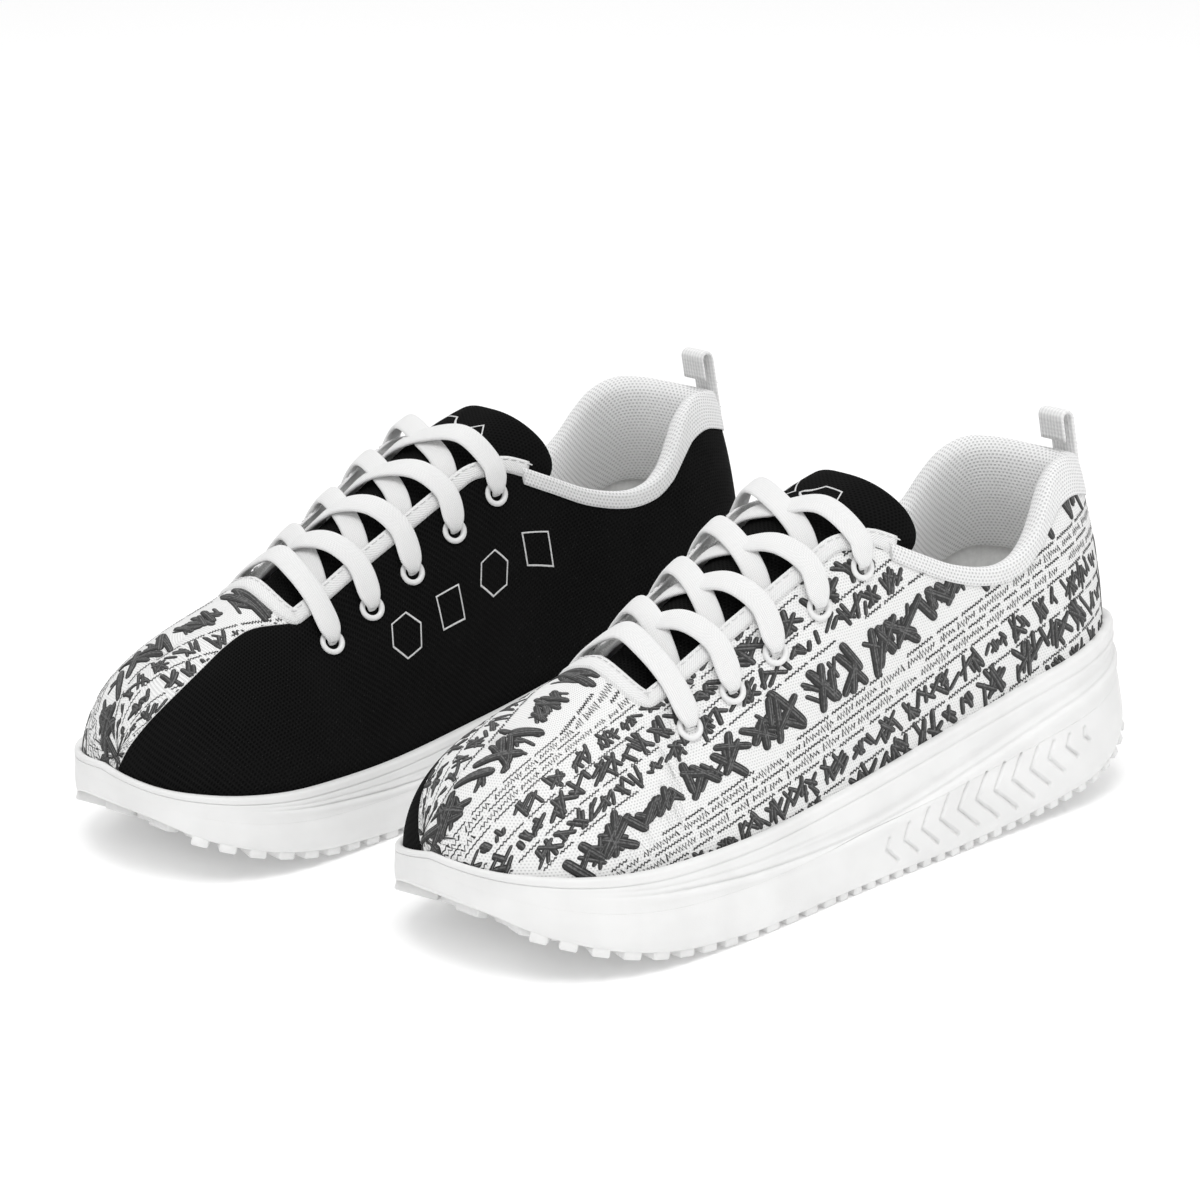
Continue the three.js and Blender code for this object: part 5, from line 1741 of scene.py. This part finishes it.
@dataclass
class Footbed:
    """The cushioned footbed, over the lasting board."""

    inset: float = 4.8
    lift: float = 2.8
    thickness: float = 4.0

    def build(self, shop: Workshop, finishes: Finishes) -> None:
        """Makes the footbed."""
        t = np.linspace(0, 1, 97)
        share = np.linspace(0, 1, 25)
        top, bottom = [], []
        for k in t:
            left, right = (LAST.grown(side, np.array(k), np.array(-self.inset)) for side in (LATERAL, MEDIAL))
            plan = left[None, :] + (right - left)[None, :] * share[:, None]
            floor = LAST.floor_height(plan[:, 0]) + self.lift
            side = np.abs(2 * share - 1)
            round_off = np.sqrt(np.maximum(1 - side**14, 0))
            ends = math.sqrt(max(1 - abs(2 * k - 1) ** 30, 0))
            z = floor + self.thickness * (0.45 + 0.55 * round_off * ends)
            top.append(np.column_stack([plan, z]))
            bottom.append(np.column_stack([plan, floor]))
        top, bottom = np.array(top), np.array(bottom)
        shape = Shape()
        shape.grid(top, top[..., :2])
        shape.grid(bottom, bottom[..., :2])
        sides = [(top[:, k], bottom[:, k]) for k in (0, -1)] + [(top[k], bottom[k]) for k in (0, -1)]
        for a, b in sides:
            shape.grid(np.array([a, b]), np.array([a, b])[..., :2])
        shop.make("footbed", shape, [finishes.backing], stands_for=["footbed"])


# ------------------------------------------------------------------ trims
@dataclass
class Throat:
    """The tape bound round the throat, the eyelets beside it and the lace through them."""

    tape_width: float = 4.6
    eyelets: int = 5
    lace_width: float = 7.2
    lace_thickness: float = 1.7
    lace_in_eyelet: float = 2.7
    under: float = 3.3
    crossing: float = 1.2
    over: float = -2.9
    level: Curve = Curve((0, 0.5), (1, 0.47))

    def __post_init__(self) -> None:
        """Places the eyelets' stations."""
        self.stations = np.linspace(LAST.station_of(84), LAST.station_of(150), self.eyelets)

    def build(self, shop: Workshop, finishes: Finishes) -> None:
        """Makes the tape, the eyelets and the lace."""
        self.binding(shop, finishes)
        self.rings(shop, finishes)
        self.lace(shop, finishes)

    def edge(self) -> tuple[np.ndarray, np.ndarray]:
        """Returns the throat's edge as stations and levels, from the lateral top round the front to the medial top."""
        last = LAST
        down = np.linspace(last.collar_from + 0.004, last.seam_to, 70)
        bend = last.throat_start + last.THROAT_BEND * np.array([0.85, 0.7, 0.55, 0.4, 0.28, 0.18, 0.1, 0.045, 0.012])
        t = np.concatenate([down, bend])
        t, q = (
            np.concatenate([t, [last.throat_start - 0.0004], t[::-1]]),
            np.concatenate([last.top_edge(LATERAL, t), [1.0], 2 - last.top_edge(MEDIAL, t)[::-1]]),
        )
        return t, q

    def binding(self, shop: Workshop, finishes: Finishes) -> None:
        """Makes the tape, turned over the edge of the throat."""
        t, q = self.edge()
        place = LAST.wrap(t, q)
        along = unit(np.gradient(place, axis=0))
        _, _, out = LAST.frame(t, q)
        away = unit(np.cross(along, out))
        profile = [
            (self.tape_width, 0.15), (self.tape_width + 0.05, 0.75), (self.tape_width - 0.5, 0.95),
            (2.6, 1.05), (0.8, 1.05),
            (-0.35, 0.7), (-0.75, -0.3), (-0.6, -1.5), (0.2, -1.95), (2.4, -1.9), (2.4, -1.45), (0.1, -1.3),
            (0.05, 0.12), (2.4, 0.15),
        ]
        rings = []
        for width, lift in profile:
            tt, qq = LAST.walk(t, q, away, width) if width > 0 else (t, q)
            base = LAST.wrap(tt, qq)
            if width <= 0:
                base = base + away * width
            rings.append(base + out * lift)
        rings = np.array(rings).transpose(1, 0, 2)
        length = run_length(place)
        widths = np.array([width for width, _ in profile])
        uv = np.stack([np.broadcast_to(v, rings.shape[:2]) for v in (length[:, None], widths)], axis=-1)
        shape = Shape()
        shape.tube(rings, uv)
        shop.make("throat_binding", shape, [finishes.tape], stands_for=["throat_binding"])
        tt, qq = LAST.walk(t, q, away, self.tape_width - 0.9)
        row = LAST.wrap(tt, qq) + out * 1.0
        stitch = small_block("stitch", (2.0, 0.42, 0.36), 0.14)
        shop.repeat("binding_stitches", [(row, out, 2.9)], stitch, finishes.thread, "webbing")

    def eyelet(self, side: float, index: int) -> tuple[float, float, np.ndarray, np.ndarray, np.ndarray]:
        """Returns an eyelet's station, level, centre, outward direction and direction towards the throat."""
        t = float(self.stations[index])
        h = float(self.level(index / (self.eyelets - 1)))
        q = h if side < 0 else 2 - h
        _, across, out = LAST.frame(t, q)
        return t, q, LAST.wrap(t, q), out, across * -side

    def rings(self, shop: Workshop, finishes: Finishes) -> None:
        """Makes the eyelets."""
        profile = [
            (2.25, -1.8), (2.75, -1.8), (2.75, 0.0), (3.7, 0.1), (4.0, 0.4), (3.9, 0.8), (3.5, 1.1), (3.0, 1.2),
            (2.5, 1.0), (2.25, 0.5),
        ]
        places = [self.eyelet(side, i) for side in (LATERAL, MEDIAL) for i in range(self.eyelets)]
        centres, outs = np.array([p[2] for p in places]), np.array([p[3] for p in places])
        nodes = [f"{side}_eyelet_{i + 1}" for side in ("lateral", "medial") for i in range(self.eyelets)]
        shop.repeat(
            "eyelets", [(centres, outs, 0.0)], turned_ring("eyelet_ring", profile, 36), finishes.plastic,
            "eyelet_plastic", stands_for=nodes,
        )

    def end(self, first: float) -> list[np.ndarray]:
        """Returns the stops of one end of the lace, from its first eyelet up.

        Args:
            first: The side of its first eyelet.

        Returns:
            For each stop a point, its outward direction and the lace's width there.
        """
        stops: list[np.ndarray] = []

        def stop(point: np.ndarray, out: np.ndarray, width: float) -> None:
            """Adds a stop."""
            stops.append(np.concatenate([point, out, [width]]))

        def lie(t: float, q: float, depth: float, width: float = self.lace_width) -> None:
            """Adds a stop that lies along the surface."""
            stop(LAST.wrap(t, q, depth), LAST.frame(t, q)[2], width)

        side = first
        for i in range(self.eyelets):
            t, _, centre, out, inwards = self.eyelet(side, i)
            level = (lambda h: h) if side < 0 else (lambda h: 2 - h)
            lie(t, level(float(LAST.top_edge(side, t)) + 0.01), self.over)
            stop(centre + inwards * 3.8 + out * 2.6, out, self.lace_width * 0.97)
            stop(centre + inwards * 0.9 + out * 1.9, out, self.lace_width * 0.6)
            stop(centre + out * 0.2, unit(inwards + out * 0.4), self.lace_in_eyelet)
            stop(centre - out * 2.6, inwards, self.lace_in_eyelet)
            ahead = t + 0.01
            edge = float(LAST.top_edge(side, ahead))
            lie(ahead, level(edge - 0.07), self.under, self.lace_in_eyelet + 1.6)
            if i == self.eyelets - 1:
                break
            lie(ahead, level(edge + 0.02), self.under)
            after = float(self.stations[i + 1])
            middle = self.crossing if side < 0 else self.under
            lie(mix(ahead, after, 0.25), 1 + side * 0.2, self.under)
            lie(mix(ahead, after, 0.5), 1, middle)
            lie(mix(ahead, after, 0.78), 1 - side * 0.2, mix(middle, self.over, 0.7))
            side = -side
        return stops

    def lace(self, shop: Workshop, finishes: Finishes) -> None:
        """Makes the lace, a flat woven tube."""
        t = self.stations[0]
        bar = [np.concatenate([LAST.wrap(t, q, -1.6), LAST.frame(t, q)[2], [self.lace_width]]) for q in (0.8, 1.0, 1.2)]
        path = smooth_path(np.array(self.end(LATERAL)[::-1] + bar + self.end(MEDIAL)), 10)
        centre, out, width = path[:, :3], unit(path[:, 3:6]), path[:, 6]
        along = unit(np.gradient(centre, axis=0))
        broad = unit(np.cross(along, out))
        normal = np.cross(broad, along)
        angle = np.linspace(0, 2 * np.pi, 17)[:-1]
        flat = squared(np.cos(angle), 0.55)
        thick = squared(np.sin(angle), 0.8)
        rings = (
            centre[:, None]
            + broad[:, None] * (flat[None, :, None] * width[:, None, None] / 2)
            + normal[:, None] * (thick[None, :, None] * self.lace_thickness / 2)
        )
        length = run_length(centre)
        uv = np.stack([np.broadcast_to(length[:, None], rings.shape[:2]), flat[None, :] * width[:, None] / 2], axis=-1)
        shape = Shape()
        shape.tube(rings, uv)
        shop.make("lace", shape, [finishes.lace], stands_for=["lace"])


@dataclass
class PullTab:
    """The loop of webbing at the heel."""

    width: float = 10.5
    thickness: float = 1.4
    rise: float = 9.5
    lean: float = 0.1

    def build(self, shop: Workshop, finishes: Finishes) -> None:
        """Makes the loop and the stitches that hold it."""
        bend = 1.4 + self.thickness / 2
        top = float(LAST.top_edge(MEDIAL, 1.0))
        behind = LAST.point(MEDIAL, 1.0, top, -0.8 - 1.8 - self.thickness / 2)
        base = behind + np.array([-bend, 0, 3.4])
        turn = np.linspace(0, np.pi, 17)
        route = [(bend, z) for z in np.linspace(-12, 4, 12)]
        route += [(bend * math.cos(a), self.rise - bend + bend * math.sin(a)) for a in turn]
        route += [(-bend, z) for z in np.linspace(self.rise - bend - 0.8, 0.6, 6)]
        line = np.array(route)
        along = unit(np.gradient(line, axis=0))
        side = np.stack([along[:, 1], -along[:, 0]], axis=-1)
        angle = np.linspace(0, 2 * np.pi, 21)[:-1]
        flat = squared(np.cos(angle), 0.35)
        thick = squared(np.sin(angle), 0.6)
        across = line[:, None, :] + side[:, None, :] * (thick[None, :, None] * self.thickness / 2)
        x = base[0] + across[..., 0] - self.lean * across[..., 1]
        z = base[2] + across[..., 1]
        y = base[1] + np.broadcast_to(flat[None, :] * self.width / 2, x.shape)
        rings = np.stack([x, y, z], axis=-1)
        length = run_length(line)
        uv = np.stack([np.broadcast_to(v, x.shape) for v in (flat[None, :] * self.width / 2, length[:, None])], axis=-1)
        shape = Shape()
        shape.tube(rings, uv)
        shop.make("pull_tab", shape, [finishes.ribbon], Part.TAB, ["pull_tab"])
        outer = bend + self.thickness / 2 + 0.02
        runs = []
        for height in (-1.2, -9.5):
            y = np.linspace(-self.width / 2 + 1.2, self.width / 2 - 1.2, 12)
            x = np.full(12, base[0] + outer - self.lean * height)
            row = np.stack([x, base[1] + y, np.full(12, base[2] + height)], axis=-1)
            runs.append((row, np.tile([1.0, 0, 0.1], (12, 1)), 1.9))
        stitch = small_block("tab_stitch", (1.5, 0.4, 0.36), 0.12)
        shop.repeat("tab_stitches", runs, stitch, finishes.thread, "webbing", Part.TAB)


# ------------------------------------------------------------------ hidden CAD pieces, stage, camera
def dress_frame(frame: dict, finishes: Finishes) -> None:
    """Gives the CAD pieces that stay their own finishes.

    Args:
        finishes: The materials.
    """
    for name, node in frame["nodes"].items():
        finish = finishes.board if name.endswith("lasting_board") else finishes.stiff
        if not node.hide_render:
            node.data.materials.clear()
            node.data.materials.append(finish)


@dataclass
class Studio:
    """A pale floor, soft light and the camera."""

    azimuth: float = -37.5246
    elevation: float = 16.5713
    roll: float = -4.0763
    lens: float = 143.49
    eye: tuple[float, float, float] = (-712.76, -1027.47, 479.34)

    def build(self, left: Stance) -> None:
        """Makes the floor, the lights and the camera.

        Args:
            left: The left shoe, in whose frame the camera's place is given.
        """
        scene = bpy.context.scene
        scene.view_settings.view_transform = "Standard"
        self.floor()
        world = bpy.data.worlds.new("studio")
        scene.world = world
        world.use_nodes = True
        sky = world.node_tree.nodes["Background"]
        sky.inputs["Color"].default_value = (1.0, 1.0, 1.0, 1.0)
        sky.inputs["Strength"].default_value = 0.60
        for name, place, size, power in (
            ("key", (-0.5, -0.7, 1.9), 1.1, 20.0),
            ("fill", (1.3, -0.9, 1.3), 1.4, 4.0),
            ("back", (0.3, 1.6, 1.6), 1.4, 7.0),
        ):
            self.lamp(name, place, size, power)
        a, e, roll = (math.radians(v) for v in (self.azimuth, self.elevation, self.roll))
        back = np.array([math.sin(a) * math.cos(e), -math.cos(a) * math.cos(e), math.sin(e)])
        right = np.array([math.cos(a), math.sin(a), 0.0])
        up = np.cross(back, right)
        turned = math.cos(roll) * right + math.sin(roll) * up
        upright = -math.sin(roll) * right + math.cos(roll) * up
        data = bpy.data.cameras.new("camera")
        data.lens, data.sensor_width, data.clip_end = self.lens, 36.0, 20.0
        camera = bpy.data.objects.new("camera", data)
        scene.collection.objects.link(camera)
        turn = Matrix([[turned[i], upright[i], back[i]] for i in range(3)]).to_4x4()
        camera.matrix_world = Matrix.Translation(left.place(np.array(self.eye))) @ turn
        scene.camera = camera

    def floor(self) -> None:
        """Makes the floor."""
        f = Finish("studio floor", 0.7)
        f.shader.inputs["Emission Color"].default_value = (1.0, 1.0, 1.0, 1.0)
        f.shader.inputs["Emission Strength"].default_value = 0.16
        dust = f.g.noise(f.solid(), 6.0, 2.0)
        f.paint(f.g.colour(dust, (0.93, 0.93, 0.93), (0.945, 0.945, 0.945)))
        work = bmesh.new()
        bmesh.ops.create_grid(work, x_segments=2, y_segments=2, size=6.0)
        data = bpy.data.meshes.new("studio_floor")
        work.to_mesh(data)
        work.free()
        data.materials.append(f.material)
        floor = bpy.data.objects.new("studio_floor", data)
        bpy.context.scene.collection.objects.link(floor)
        floor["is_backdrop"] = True

    def lamp(self, name: str, place: tuple[float, float, float], size: float, power: float) -> None:
        """Makes a soft light that faces the shoes."""
        data = bpy.data.lights.new(name, "AREA")
        data.size, data.energy = size, power
        lamp = bpy.data.objects.new(name, data)
        bpy.context.scene.collection.objects.link(lamp)
        back = unit(np.array(place) - np.array([0, 0, 0.04]))
        right = unit(np.cross(np.array([0.0, 0.0, 1.0]), back))
        up = np.cross(back, right)
        turn = Matrix([[right[i], up[i], back[i]] for i in range(3)]).to_4x4()
        lamp.matrix_world = Matrix.Translation(place) @ turn


def corners(bounds: Iterable) -> list[list[float]]:
    """Returns a box's two corners as plain lists."""
    return [[float(v) for v in corner] for corner in bounds]


def main() -> None:
    """Builds the pair on its frame, the stage and the camera."""
    logging.basicConfig(level=logging.INFO, format="%(message)s")
    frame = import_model()
    cad_box = corners(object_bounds())
    shop = Workshop()
    finishes = Finishes()
    Studio().build(shop.stances[0])
    upper = Upper(Cloth())
    Sole().build(shop, finishes)
    upper.build(shop, finishes)
    Collar().build(shop, finishes)
    Tongue().build(shop, finishes, upper)
    Footbed().build(shop, finishes)
    Throat().build(shop, finishes)
    PullTab().build(shop, finishes)
    dress_frame(frame, finishes)
    bpy.context.view_layer.update()
    {"cad": cad_box, "visual": corners(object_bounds())}


if __name__ == "__main__":
    main()
